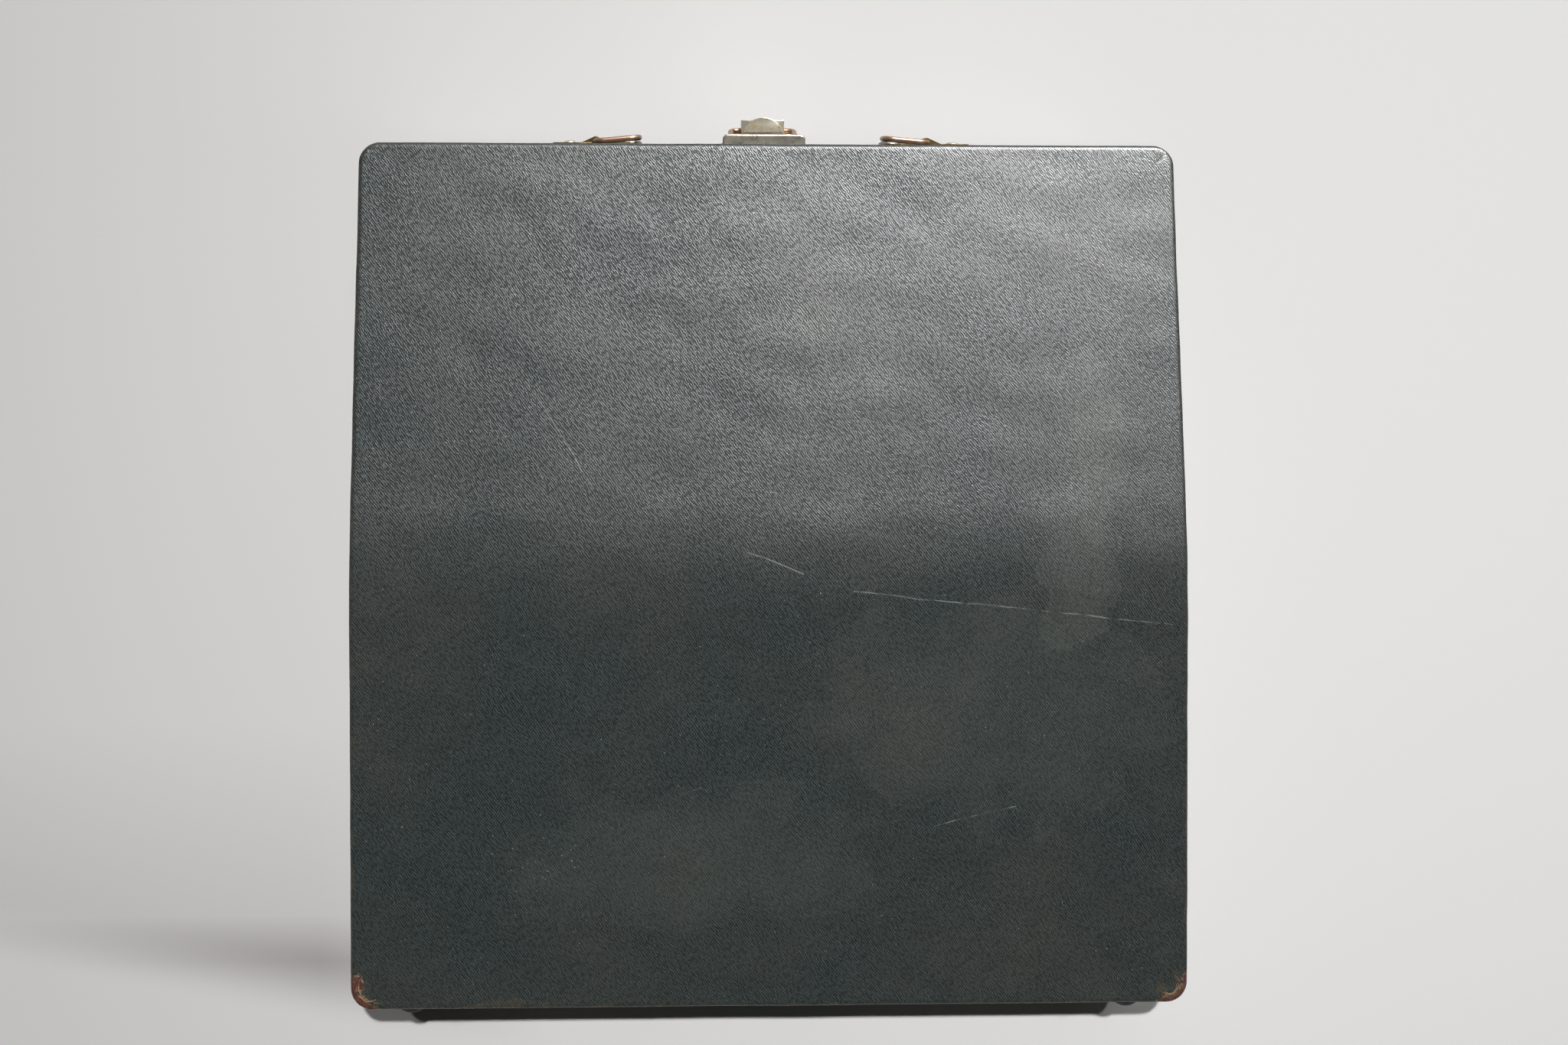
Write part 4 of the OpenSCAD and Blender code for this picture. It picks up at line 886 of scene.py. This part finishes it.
@dataclass
class CaseForm:
    """The case's outer form: a rounded box, its lid bent down to the front, its front leaning out."""

    edge_mm: float = 1.3
    corner_mm: float = 8.0
    drop_mm: float = 30.0
    flat_mm: float = 170.0
    bend_mm: float = 220.0
    lean_deg: float = 8.5
    proud_mm: float = 0.3
    fall_from_mm: float = 10.0
    lean_from_mm: float = 12.0
    low: Vector = field(init=False)
    high: Vector = field(init=False)
    seam: float = field(init=False)
    front_z: float = field(init=False)
    lean: float = field(init=False)
    front_y: float = field(init=False)

    def __post_init__(self) -> None:
        """Takes the case's planes from the frame."""
        lid_low, lid_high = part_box("lid_shell")
        tray_low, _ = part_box("base_tray")
        self.low = Vector((lid_low.x, 0, tray_low.z))
        self.high = Vector((lid_high.x, lid_high.y, lid_high.z))
        self.seam = lid_low.z
        self.front_z = lid_high.z - self.drop_mm * MM
        self.lean = math.tan(math.radians(self.lean_deg))
        self.front_y = lid_low.y + (self.front_z - self.seam) * self.lean

    def top(self, y: np.ndarray) -> np.ndarray:
        """Height of the lid's top at y: level, then a circular bend, then a straight slope.

        Args:
            y: places across the lid, from the latch to the hinge, in metres.

        Returns:
            The height at each place.
        """
        bend_y = self.high.y - self.flat_mm * MM
        slope = self.drop_mm * MM / (bend_y - self.front_y)
        angle = math.atan(slope)
        radius = self.bend_mm * MM
        start = bend_y + radius * math.tan(angle / 2)
        run = np.clip(start - y, 0, radius * math.sin(angle))
        arc = radius - np.sqrt(radius ** 2 - run ** 2)
        past = np.clip(start - radius * math.sin(angle) - y, 0, None)
        return self.high.z - arc - past * slope

    def warp(self, box: np.ndarray, top_round: float, ends: tuple[float, float]) -> np.ndarray:
        """Turns points on a plain box into the case's form.

        The upright corners are rounded by giving each point of a corner's square the distance from the
        corner's centre that its larger offset has. The top edges are rounded in the same way, in the plane
        of the outward direction and the height. Then the top follows the lid's line and the front leans.

        Args:
            box: points on the box, in metres.
            top_round: the radius of the edges between walls and the end face, in metres.
            ends: the height of the rounded end face, and 1 or -1 for a top or a bottom.

        Returns:
            The points on the case's form.
        """
        proud = self.proud_mm * MM
        half = np.array([self.high.x + proud, (self.high.y - self.front_y) / 2 + proud])
        centre = np.array([0.0, (self.high.y + self.front_y) / 2])
        flat = box[:, :2] - centre
        radius = self.corner_mm * MM
        core = np.clip(flat, -(half - radius), half - radius)
        arm = flat - core
        longest = np.abs(arm).max(axis=1)
        length = np.linalg.norm(arm, axis=1)
        way = arm / np.where(length > 0, length, 1)[:, None]
        out = longest - (radius - top_round)
        end_z, sign = ends
        rise = (box[:, 2] - end_z) * sign + top_round
        outer, upper = np.clip(out, 0, None), np.clip(rise, 0, None)
        span = np.hypot(outer, upper)
        both = (outer > 0) & (upper > 0)
        share = np.where(both, np.maximum(outer, upper) / np.where(span > 0, span, 1), 1)
        longest = np.where(both, radius - top_round + outer * share, longest)
        height = np.where(both, end_z + sign * (upper * share - top_round), box[:, 2])
        flat = core + way * longest[:, None]
        x, y, z = flat[:, 0], flat[:, 1] + centre[1], height
        fall = self.top(np.clip(y, self.front_y, self.high.y)) - self.high.z
        lift = np.clip((z - self.seam) / (self.high.z - self.fall_from_mm * MM - self.seam), 0, 1)
        z = z + fall * lift
        out_y = -np.clip(self.front_z - z, 0, None) * self.lean
        depth = self.high.y - self.front_y - self.lean_from_mm * MM
        share = np.clip((self.high.y - y) / depth, 0, 1)
        return np.stack([x, y + out_y * share, z], axis=1)


def spread(low: float, high: float, rim: float, fine: float, coarse: float,
           rims: tuple[bool, bool] = (True, True)) -> np.ndarray:
    """Numbers from low to high, close together within the rims and wide apart between them.

    Args:
        low: the first number.
        high: the last number.
        rim: how wide a rim is.
        fine: the step within a rim.
        coarse: about the step between the rims.
        rims: whether there is a rim at the low and at the high end.

    Returns:
        The numbers in order.
    """
    start = low + rim if rims[0] else low
    stop = high - rim if rims[1] else high
    parts = []
    if rims[0]:
        parts.append(np.arange(low, start, fine))
    parts.append(np.linspace(start, stop, max(2, round((stop - start) / coarse))))
    if rims[1]:
        parts.append(high - np.arange(low, low + rim, fine)[::-1] + low)
    return np.unique(np.round(np.concatenate(parts), 7))


class Side(Enum):
    """A face of the box that a cloth covers; left and right are those of the main view."""

    FRONT = "front"
    BACK = "back"
    LEFT = "left"
    RIGHT = "right"
    END = "end"


@dataclass
class CaseCloth:
    """The leathercloth glued over the wooden lid and tray, with its torn corners.

    A swell is a ripple's length, its seed and its share. The smear, a rubbed streak at the back edge, is its
    x and its half sizes. A torn corner is its side, 1 for the main view's left, and its size. A spot is its
    x, its distance from the back edge and its reach.
    """

    form: CaseForm
    thickness_mm: float = 0.5
    sag_mm: float = 0.12
    hem_mm: float = 13.0
    tray_edge_mm: float = 0.6
    fine_mm: float = 0.9
    coarse_mm: float = 3.3
    rim_mm: float = 9.0
    wall_rim_mm: float = 6.0
    swells: tuple[tuple[float, int, float], ...] = ((60.0, 5, 0.6), (17.0, 9, 0.4))
    swell_fade_mm: float = 6.0
    wear_mm: float = 7.0
    corner_wear_mm: float = 20.0
    smear_mm: tuple[float, float, float] = (98.0, 20.0, 6.0)
    torn_corners: tuple[tuple[int, float], ...] = ((1, 0.85), (-1, 1.05))
    bare_reach_mm: float = 13.5
    bare_width_mm: float = 4.9
    spots_mm: tuple[tuple[float, float, float], ...] = ((157.7, 10.0, 2.6), (-130.6, 4.0, 1.5))
    fibres: int = 46
    fibre_steps: int = 7
    fibre_sides: int = 5
    fibre_length_mm: tuple[float, float] = (1.2, 4.0)
    fibre_radius_mm: tuple[float, float] = (0.11, 0.05)
    fibre_inward_mm: tuple[float, float] = (1.4, 3.2)
    fibre_level_mm: float = 2.4

    def patches(self, low_z: float, high_z: float, end_z: float,
                inner: float) -> tuple[np.ndarray, np.ndarray, np.ndarray]:
        """Grids on the walls and on the end face of a box, with their unfolded coordinates.

        A wall unfolds outwards from the end face: the distance from the end face is added to the wall's own
        place, so that a pattern runs on over the edge.

        Args:
            low_z: the box's lower end, in metres.
            high_z: its upper end.
            end_z: the height of its end face, which is one of the two.
            inner: the width of the hem that is left of the end face, or 0 for all of it.

        Returns:
            The points, their flat coordinates, and each face's point numbers.
        """
        form = self.form
        proud = form.proud_mm * MM
        fine, coarse, rim = self.fine_mm * MM, self.coarse_mm * MM, self.rim_mm * MM
        x0, x1 = form.low.x - proud, form.high.x + proud
        y0, y1 = form.front_y - proud, form.high.y + proud
        xs, ys = spread(x0, x1, rim, fine, coarse), spread(y0, y1, rim, fine, coarse)
        up = end_z > low_z
        zs = spread(low_z, high_z, self.wall_rim_mm * MM, fine, coarse, (not up, up))
        points, unfold, faces, first = [], [], [], 0
        for side in Side:
            if side in (Side.FRONT, Side.BACK):
                a, b = np.meshgrid(xs, zs, indexing="ij")
                y, away = (y0, -1) if side is Side.FRONT else (y1, 1)
                grid = np.stack([a, np.full_like(a, y), b], -1)
                flat = np.stack([a, y + away * np.abs(end_z - b)], -1)
            elif side in (Side.LEFT, Side.RIGHT):
                a, b = np.meshgrid(ys, zs, indexing="ij")
                x, away = (x1, 1) if side is Side.LEFT else (x0, -1)
                grid = np.stack([np.full_like(a, x), a, b], -1)
                flat = np.stack([x + away * np.abs(end_z - b), a], -1)
            else:
                a, b = np.meshgrid(xs, ys, indexing="ij")
                grid = np.stack([a, b, np.full_like(a, end_z)], -1)
                flat = np.stack([a, b], -1)
            mesh_faces = quads(*a.shape)
            if side is Side.END and inner > 0:
                middle = grid.reshape(-1, 3)[mesh_faces].mean(axis=1)
                near = np.minimum.reduce([middle[:, 0] - x0, x1 - middle[:, 0], middle[:, 1] - y0,
                                          y1 - middle[:, 1]])
                mesh_faces = mesh_faces[near < inner]
            points.append(grid.reshape(-1, 3))
            unfold.append(flat.reshape(-1, 2))
            faces.append(mesh_faces + first)
            first += a.size
        return np.concatenate(points), np.concatenate(unfold), np.concatenate(faces)

    def masks(self, points: np.ndarray) -> dict[str, np.ndarray]:
        """Where the cloth is rubbed, and where it is bare at the lid's two torn back corners.

        Near is the distance to the closest edge of the lid's face. The rub falls with near and with the
        distance from a torn corner. A torn corner is bare by 1, less near over the tear's width, less the
        square of the distance from the corner over the tear's reach. A small spot fades with the distance.

        Args:
            points: places on the surface, in metres.

        Returns:
            The rub and the bareness of each point, from 0 to 1.
        """
        form = self.form
        radius = form.corner_mm * MM
        half = np.array([form.high.x, (form.high.y - form.front_y) / 2])
        centre = np.array([0, (form.high.y + form.front_y) / 2])
        out_y = np.clip(form.front_z - points[:, 2], 0, None) * form.lean
        front = points[:, 1] < centre[1]
        plan = points[:, :2] - centre
        plan[:, 1] += np.where(front, out_y, 0)
        over = np.abs(plan) - (half - radius)
        inside = np.where((over > 0).all(axis=1), radius - np.linalg.norm(over, axis=1),
                          radius - over.max(axis=1))
        below = np.abs(form.top(points[:, 1]) - points[:, 2])
        near = np.maximum(np.abs(inside), below)
        wear = np.clip(1 - near / (self.wear_mm * MM), 0, 1) ** 1.5
        bare = np.zeros(len(points))
        for side, size in self.torn_corners:
            arc = np.array([side * (form.high.x - radius * 0.3), form.high.y - radius * 0.3])
            away = np.linalg.norm(points[:, :2] - arc, axis=1)
            off = away / (self.bare_reach_mm * size * MM)
            bare = np.maximum(bare, 1 - near / (self.bare_width_mm * size * MM) - off ** 2)
            wear = np.maximum(wear, np.clip(1.35 - away / (self.corner_wear_mm * MM), 0, 0.9))
        for x, y, reach in self.spots_mm:
            spot = np.stack([points[:, 0] - x * MM, points[:, 1] - form.high.y + y * MM, below])
            bare = np.maximum(bare, 0.8 - 0.35 * np.linalg.norm(spot, axis=0) / (reach * MM))
        x, half_x, half_y = self.smear_mm
        smear = np.abs(points[:, 0] - x * MM) / (half_x * MM)
        smear = smear + np.abs(form.high.y - points[:, 1]) / (half_y * MM)
        return {WEAR: np.clip(wear + np.clip(1.2 - smear, 0, 0.8), 0, 1), BARE: np.clip(bare, 0, 1)}

    def skin(self, name: str, body: str, low_z: float, high_z: float, end_z: float,
             sign: float, radius: float, inner: float) -> bpy.types.Object:
        """Makes one cover: the box's patches warped to the case, slightly uneven, then given its thickness.

        The unevenness moves each point out from the box's core by the sum of two ripples. It fades out
        towards the cover's open rim.

        Args:
            name: the piece's name.
            body: the body that it rides.
            low_z: the box's lower end, in metres.
            high_z: its upper end.
            end_z: the height of its end face.
            sign: 1 for an end face that looks up, -1 for one that looks down.
            radius: the radius of the edges round the end face.
            inner: the width of the hem that is left of the end face, or 0 for all of it.

        Returns:
            The cover.
        """
        box, unfold, faces = self.patches(low_z, high_z, end_z, inner)
        points = self.form.warp(box, radius, (end_z, sign))
        centre = np.array([0, (self.form.high.y + self.form.front_y) / 2, (low_z + high_z) / 2])
        half = np.array([self.form.high.x, (self.form.high.y - self.form.front_y) / 2, (high_z - low_z) / 2])
        arm = box - centre
        core = half - self.form.corner_mm * MM
        inside = np.clip(arm, -core, core)
        way = arm - inside
        way /= np.maximum(np.linalg.norm(way, axis=1, keepdims=True), 1e-9)
        swell = sum(ripple(box, size * MM, seed) * share for size, seed, share in self.swells)
        rim_z = low_z if sign > 0 else high_z
        fade = np.clip(np.abs(box[:, 2] - rim_z) / (self.swell_fade_mm * MM), 0, 1)
        points = points + way * (swell * self.sag_mm * MM * fade)[:, None]
        piece = make_piece(name, points, faces, CLOTH, unfold, self.masks(points))
        solid = piece.modifiers.new("thickness", "SOLIDIFY")
        solid.thickness = self.thickness_mm * MM
        solid.offset = -1
        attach(piece, body)
        return piece

    def fray(self, name: str, side: int) -> bpy.types.Object:
        """Loose cotton ends at a torn corner: thin tubes that curl away from the surface.

        A tube's path is a straight run along the edge, with a part of a sine wave as its lift.

        Args:
            name: the piece's name.
            side: 1 for the main view's left corner, -1 for its right one.

        Returns:
            The piece.
        """
        form = self.form
        rng = np.random.default_rng(40 + side)
        points, faces, first = [], [], 0
        for _ in range(self.fibres):
            turn = rng.uniform(0, math.pi / 2)
            radius = form.corner_mm * MM
            inward = rng.uniform(*self.fibre_inward_mm) * MM
            # nearer than this to the rounded edge a fibre starts lower
            sunk = max(0.0, self.fibre_level_mm - inward / MM) * 0.7 * MM
            start = np.array([side * (form.high.x - radius + (radius - inward) * math.cos(turn)),
                              form.high.y - radius + (radius - inward) * math.sin(turn),
                              form.high.z + 0.15 * MM - sunk])
            along = np.array([-side * math.sin(turn), math.cos(turn), 0.0])
            outward = np.array([side * math.cos(turn), math.sin(turn), -0.2])
            length = rng.uniform(*self.fibre_length_mm) * MM
            run = np.linspace(0, 1, self.fibre_steps)[:, None]
            lean = along * rng.choice([-1.0, 1.0]) * rng.uniform(0.4, 1.0) + outward * rng.uniform(-0.5, 0.35)
            curl = np.array([0, 0, 1.0]) * rng.uniform(0.02, 0.25)
            lift = np.sin(run * math.pi * rng.uniform(0.5, 1.2))
            path = start + lean * length * run + curl * length * lift
            radii = np.linspace(*self.fibre_radius_mm, self.fibre_steps) * MM
            fibre, fibre_faces = tube(path, radii, self.fibre_sides)
            points.append(fibre)
            faces.append(fibre_faces + first)
            first += len(fibre)
        piece = make_piece(name, np.concatenate(points), np.concatenate(faces), FRAYED)
        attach(piece, "lid")
        return piece

    def build(self) -> None:
        """Covers the lid and the tray, and finishes the wood and the linings behind the cloth."""
        form = self.form
        gap_top, tray_top = form.seam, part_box("base_tray")[1].z
        proud = form.proud_mm * MM
        edge = form.edge_mm * MM
        self.skin("lid_cloth", "lid", gap_top, form.high.z + proud, form.high.z + proud, 1, edge, 0)
        self.skin("tray_cloth", "case_base", form.low.z - proud, tray_top, form.low.z - proud, -1,
                  self.tray_edge_mm * MM, self.hem_mm * MM)
        self.fray("fray_left", 1)
        self.fray("fray_right", -1)
        for node in ("lid_shell", "base_tray"):
            keep(node, TURNED_CLOTH)
        for node in ("lid_lining", "base_lining"):
            keep(node, LINING)


FRAME: dict[str, Any] = {}


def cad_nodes() -> dict[str, bpy.types.Object]:
    """The frame's CAD nodes by name."""
    return FRAME["nodes"]


def body_of(node: str) -> str:
    """The body that carries a CAD node."""
    bodies = FRAME["record"]["behaviour"]["bodies"]
    return next(body for body, nodes in bodies.items() if node in nodes)


def keep(node: str, finish: Finish) -> None:
    """Shows a CAD node as it is, with a finish."""
    finish.dress(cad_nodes()[node])
    LOG.info("kept %s: %s", node, finish.name)


def refine(node: str, finish: Finish, bevel_mm: float,
           second: tuple[Finish, Callable[[np.ndarray], np.ndarray]] | None = None) -> bpy.types.Object:
    """Stands in for a CAD node: a welded copy of it with softened edges.

    Args:
        node: the CAD node.
        finish: the surface finish.
        bevel_mm: the width of the softened edges.
        second: another finish, and which faces take it by their centres.

    Returns:
        The piece.
    """
    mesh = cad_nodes()[node].data.copy()
    mesh.name = node + "_finished"
    shape = bmesh.new()
    shape.from_mesh(mesh)
    bmesh.ops.remove_doubles(shape, verts=shape.verts, dist=CAD_WELD_MM * MM)
    bmesh.ops.dissolve_limit(shape, angle_limit=math.radians(CAD_FLAT_DEG), verts=shape.verts,
                             edges=shape.edges)
    shape.to_mesh(mesh)
    shape.free()
    mesh.polygons.foreach_set("use_smooth", np.ones(len(mesh.polygons), bool))
    mesh.set_sharp_from_angle(angle=math.radians(CAD_SHARP_DEG))
    piece = bpy.data.objects.new(node + "_finished", mesh)
    bpy.context.scene.collection.objects.link(piece)
    bevel = piece.modifiers.new("soft_edges", "BEVEL")
    bevel.width = bevel_mm * MM
    bevel.segments = BEVEL_STEPS
    bevel.limit_method = "ANGLE"
    bevel.angle_limit = math.radians(CAD_SHARP_DEG)
    bevel.use_clamp_overlap = True
    finish.dress(piece)
    if second:
        mesh.materials.append(second[0].material())
        centres = np.zeros(len(mesh.polygons) * 3)
        mesh.polygons.foreach_get("center", centres)
        mesh.polygons.foreach_set("material_index", second[1](centres.reshape(-1, 3)).astype(np.int32))
    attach(piece, body_of(node))
    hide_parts(node)
    LOG.info("softened %s: %s, %.2f mm", node, finish.name, bevel_mm)
    return piece


@dataclass
class Fittings:
    """The metal and rubber on the case: latch, handle loops, hinges, rivets and feet."""

    form: CaseForm
    plate_edge_mm: float = 0.21
    lever_edge_mm: float = 0.455
    keeper_edge_mm: float = 0.7
    handle_edge_mm: float = 0.35
    wire_edge_mm: float = 0.1
    pin_edge_mm: float = 0.2
    rivet_edge_mm: float = 0.15
    back_foot_edge_mm: float = 0.5
    foot_edge_mm: float = 0.9
    lug_front_mm: float = 1.1
    lug_foot_mm: float = 5.3

    def lug_face(self, centres: np.ndarray) -> np.ndarray:
        """Which faces lie on the front of the latch's thumb lug.

        The places are turned by the wall's lean about the seam: up runs along the wall, out away from it.

        Args:
            centres: the faces' middles in metres, one row each.

        Returns:
            True for each face on the lug's front.
        """
        form = self.form
        angle = math.atan(form.lean)
        seam_y = form.front_y - (form.front_z - form.seam) * form.lean
        y, z = centres[:, 1] - seam_y, centres[:, 2] - form.seam
        up = y * math.sin(angle) + z * math.cos(angle)
        out = z * math.sin(angle) - y * math.cos(angle)
        return (up > self.lug_front_mm * MM) & (out > self.lug_foot_mm * MM)

    def build(self) -> None:
        """Softens and finishes every fitting."""
        plan: dict[str, tuple[Finish, float]] = {
            "latch_plate": (NICKEL, self.plate_edge_mm), "latch_lever": (NICKEL, self.lever_edge_mm),
            "latch_keeper": (STAINED_NICKEL, self.keeper_edge_mm), "latch_bail": (WIRE, self.wire_edge_mm),
            "latch_pin": (STEEL, self.pin_edge_mm), "handle_plates": (KHAKI_METAL, self.handle_edge_mm),
            "handle_loop_left": (WIRE, self.wire_edge_mm), "handle_loop_right": (WIRE, self.wire_edge_mm),
            "front_rivets": (PALE_METAL, self.rivet_edge_mm), "hinge_leaves_base": (NICKEL, self.pin_edge_mm),
            "hinge_leaves_lid": (NICKEL, self.pin_edge_mm), "hinge_pins": (STEEL, self.pin_edge_mm),
            "lid_back_feet": (RUBBER, self.back_foot_edge_mm),
            "base_back_feet": (RUBBER, self.back_foot_edge_mm), "base_feet": (RUBBER, self.foot_edge_mm),
        }
        for node, (finish, edge) in plan.items():
            lug = (PITTED, self.lug_face) if node == "latch_lever" else None
            refine(node, finish, edge, second=lug)


@dataclass
class Machine:
    """The typewriter inside: each CAD node with the finish that such a machine has."""

    edge_mm: float = 0.3
    shell_edge_mm: float = 0.45
    sheet_edge_mm: float = 0.4
    moulded_edge_mm: float = 0.6
    thin_edge_mm: float = 0.2

    def build(self) -> None:
        """Finishes the frame, body, keyboard, basket, ribbon and carriage."""
        softened: dict[str, tuple[Finish, float]] = {
            "body_shell": (ENAMEL, self.shell_edge_mm), "ribbon_cover": (ENAMEL, self.sheet_edge_mm),
            "paper_table": (ENAMEL, self.sheet_edge_mm), "carriage_frame": (JAPAN, self.edge_mm),
            "line_space_lever": (NICKEL, self.edge_mm), "paper_release_lever": (NICKEL, self.edge_mm),
            "ribbon_selector": (NICKEL, self.edge_mm), "space_bar": (KEY_PLASTIC, self.edge_mm),
            "shift_key_tops": (KEY_PLASTIC, self.moulded_edge_mm),
            "platen_knobs": (KNOB_PLASTIC, self.moulded_edge_mm), "paper_bail": (NICKEL, self.thin_edge_mm),
            "bell": (BRASS, self.thin_edge_mm), "margin_stop_left": (STEEL, self.edge_mm),
            "margin_stop_right": (STEEL, self.edge_mm), "spring_drum": (DARK_STEEL, self.sheet_edge_mm),
        }
        kept: dict[str, Finish] = {
            "machine_frame": JAPAN, "machine_bushes": RUBBER, "machine_screws": STEEL, "key_comb": DARK_STEEL,
            "key_levers": STEEL, "key_lever_left": STEEL, "key_lever_right": STEEL, "key_tops": KEY_PLASTIC,
            "key_top_left": KEY_PLASTIC, "key_top_right": KEY_PLASTIC, "shift_levers": STEEL,
            "shift_lock": KEY_PLASTIC, "backspace_key": KEY_PLASTIC, "margin_release_key": KEY_PLASTIC,
            "type_segment": DARK_STEEL, "typebars": STEEL, "typebar_left": STEEL, "typebar_right": STEEL,
            "ribbon_spool_left": STEEL, "ribbon_spool_right": STEEL, "ribbon": INKED,
            "ribbon_vibrator": STEEL, "carriage_rails": STEEL, "platen": PLATEN_RUBBER, "platen_shaft": STEEL,
            "feed_roller": RUBBER,
        }
        for node, (finish, edge) in softened.items():
            refine(node, finish, edge)
        for node, finish in kept.items():
            keep(node, finish)


class LampKind(Enum):
    """A lamp's form; the value is Blender's own name for it."""

    SUN = "SUN"
    BULB = "POINT"
    WINDOW = "AREA"


@dataclass(frozen=True)
class Lamp:
    """A lamp: its power in watts, or in watts a square metre for a sun; its size in metres, or in radians."""

    name: str
    kind: LampKind
    power: float
    place: tuple[float, float, float]
    size: float
    only_mirrored: bool = False


@dataclass
class Studio:
    """Pale floor, soft lamps and the camera at the photograph's angle, straight down on the lid."""

    lens_mm: float = 50.0
    sensor_mm: float = 36.0
    eye_mm: tuple[float, float, float] = (25.8, -26.2, 992.8)
    yaw_deg: float = -2.11
    pitch_deg: float = 1.21
    roll_deg: float = -0.05
    clip_m: tuple[float, float] = (0.01, 50.0)
    aim_m: tuple[float, float, float] = (0.0, 0.0, 0.08)
    floor_m: float = 12.0
    room: str = "#f4f4f2"
    ambient: float = 0.02
    mirrored: float = 0.85
    mirrored_share: float = 0.3
    lamps: tuple[Lamp, ...] = (
        Lamp("sky", LampKind.SUN, 0.45, (0.0, -2.8, 10.0), 0.009),
        Lamp("bulb", LampKind.BULB, 54.0, (0.01, -0.15, 1.33), 0.006),
        Lamp("window", LampKind.WINDOW, 250.0, (-0.86, -2.22, 1.75), 0.8, only_mirrored=True),
    )

    def camera(self) -> None:
        """Places the camera: image right is -x, image down is +y, then small turns about its own axes."""
        base = Matrix(((-1, 0, 0), (0, 1, 0), (0, 0, -1)))
        yaw, pitch, roll = (math.radians(a) for a in (self.yaw_deg, self.pitch_deg, self.roll_deg))
        turn = Matrix.Rotation(roll, 3, "Z") @ Matrix.Rotation(pitch, 3, "X") @ Matrix.Rotation(yaw, 3, "Y")
        right, down, ahead = (turn @ base).row
        frame = Matrix((right, -down, -ahead)).transposed().to_4x4()
        frame.translation = Vector(self.eye_mm) * MM
        data = bpy.data.cameras.new("camera")
        data.lens, data.sensor_width = self.lens_mm, self.sensor_mm
        data.clip_start, data.clip_end = self.clip_m
        eye = bpy.data.objects.new("camera", data)
        eye.matrix_world = frame
        bpy.context.scene.collection.objects.link(eye)
        bpy.context.scene.camera = eye

    def hang(self, lamp: Lamp) -> None:
        """Adds a lamp that faces the middle of the case.

        Args:
            lamp: the lamp's kind, power, place and size.
        """
        data = bpy.data.lights.new(lamp.name, lamp.kind.value)
        data.energy = lamp.power
        if lamp.kind is LampKind.SUN:
            data.angle = lamp.size
        elif lamp.kind is LampKind.WINDOW:
            data.size = lamp.size
        else:
            data.shadow_soft_size = lamp.size
        thing = bpy.data.objects.new(lamp.name, data)
        aim = Vector(self.aim_m) - Vector(lamp.place)
        turn = aim.to_track_quat("-Z", "Y").to_matrix().to_4x4()
        thing.matrix_world = Matrix.Translation(lamp.place) @ turn
        thing.visible_diffuse, thing.visible_glossy = not lamp.only_mirrored, lamp.only_mirrored
        bpy.context.scene.collection.objects.link(thing)

    def world(self) -> None:
        """A pale room: even and weak as a light, pale where it is seen or mirrored."""
        world = bpy.data.worlds.new("room")
        graph = Graph(world, "OutputWorld")
        mirrored = graph.add("LightPath", out="Is Glossy Ray")
        direct = graph.add("LightPath", out="Is Camera Ray")
        seen = graph.add("Math", {0: mirrored, 1: self.mirrored_share, 2: direct}, operation="MULTIPLY_ADD")
        strength = graph.add("MapRange", {"Value": seen, "To Min": self.ambient, "To Max": self.mirrored})
        graph.close(graph.add("Background", {"Color": colour(self.room), "Strength": strength}))
        bpy.context.scene.world = world

    def build(self) -> None:
        """Sets the whole stage."""
        half = self.floor_m / 2
        corners = np.array([[-half, -half, 0], [half, -half, 0], [half, half, 0], [-half, half, 0]])
        floor = make_piece("floor", corners, np.array([[0, 1, 2, 3]]), PAPER, weld=False)
        self.camera()
        self.world()
        for lamp in self.lamps:
            self.hang(lamp)
        bpy.context.scene.view_settings.view_transform = "Standard"


def main() -> None:
    """Builds the stage, then dresses the case and the machine."""
    logging.basicConfig(level=logging.INFO, format="%(name)s: %(message)s")
    FRAME.update(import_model())
    form = CaseForm()
    builders: list[tuple[str, Callable[[], None]]] = [
        ("studio", Studio().build),
        ("case cloth", CaseCloth(form).build),
        ("fittings", Fittings(form).build),
        ("machine", Machine().build),
    ]
    for name, build in builders:
        build()
        LOG.info("%s done", name)


if __name__ == "__main__":
    main()
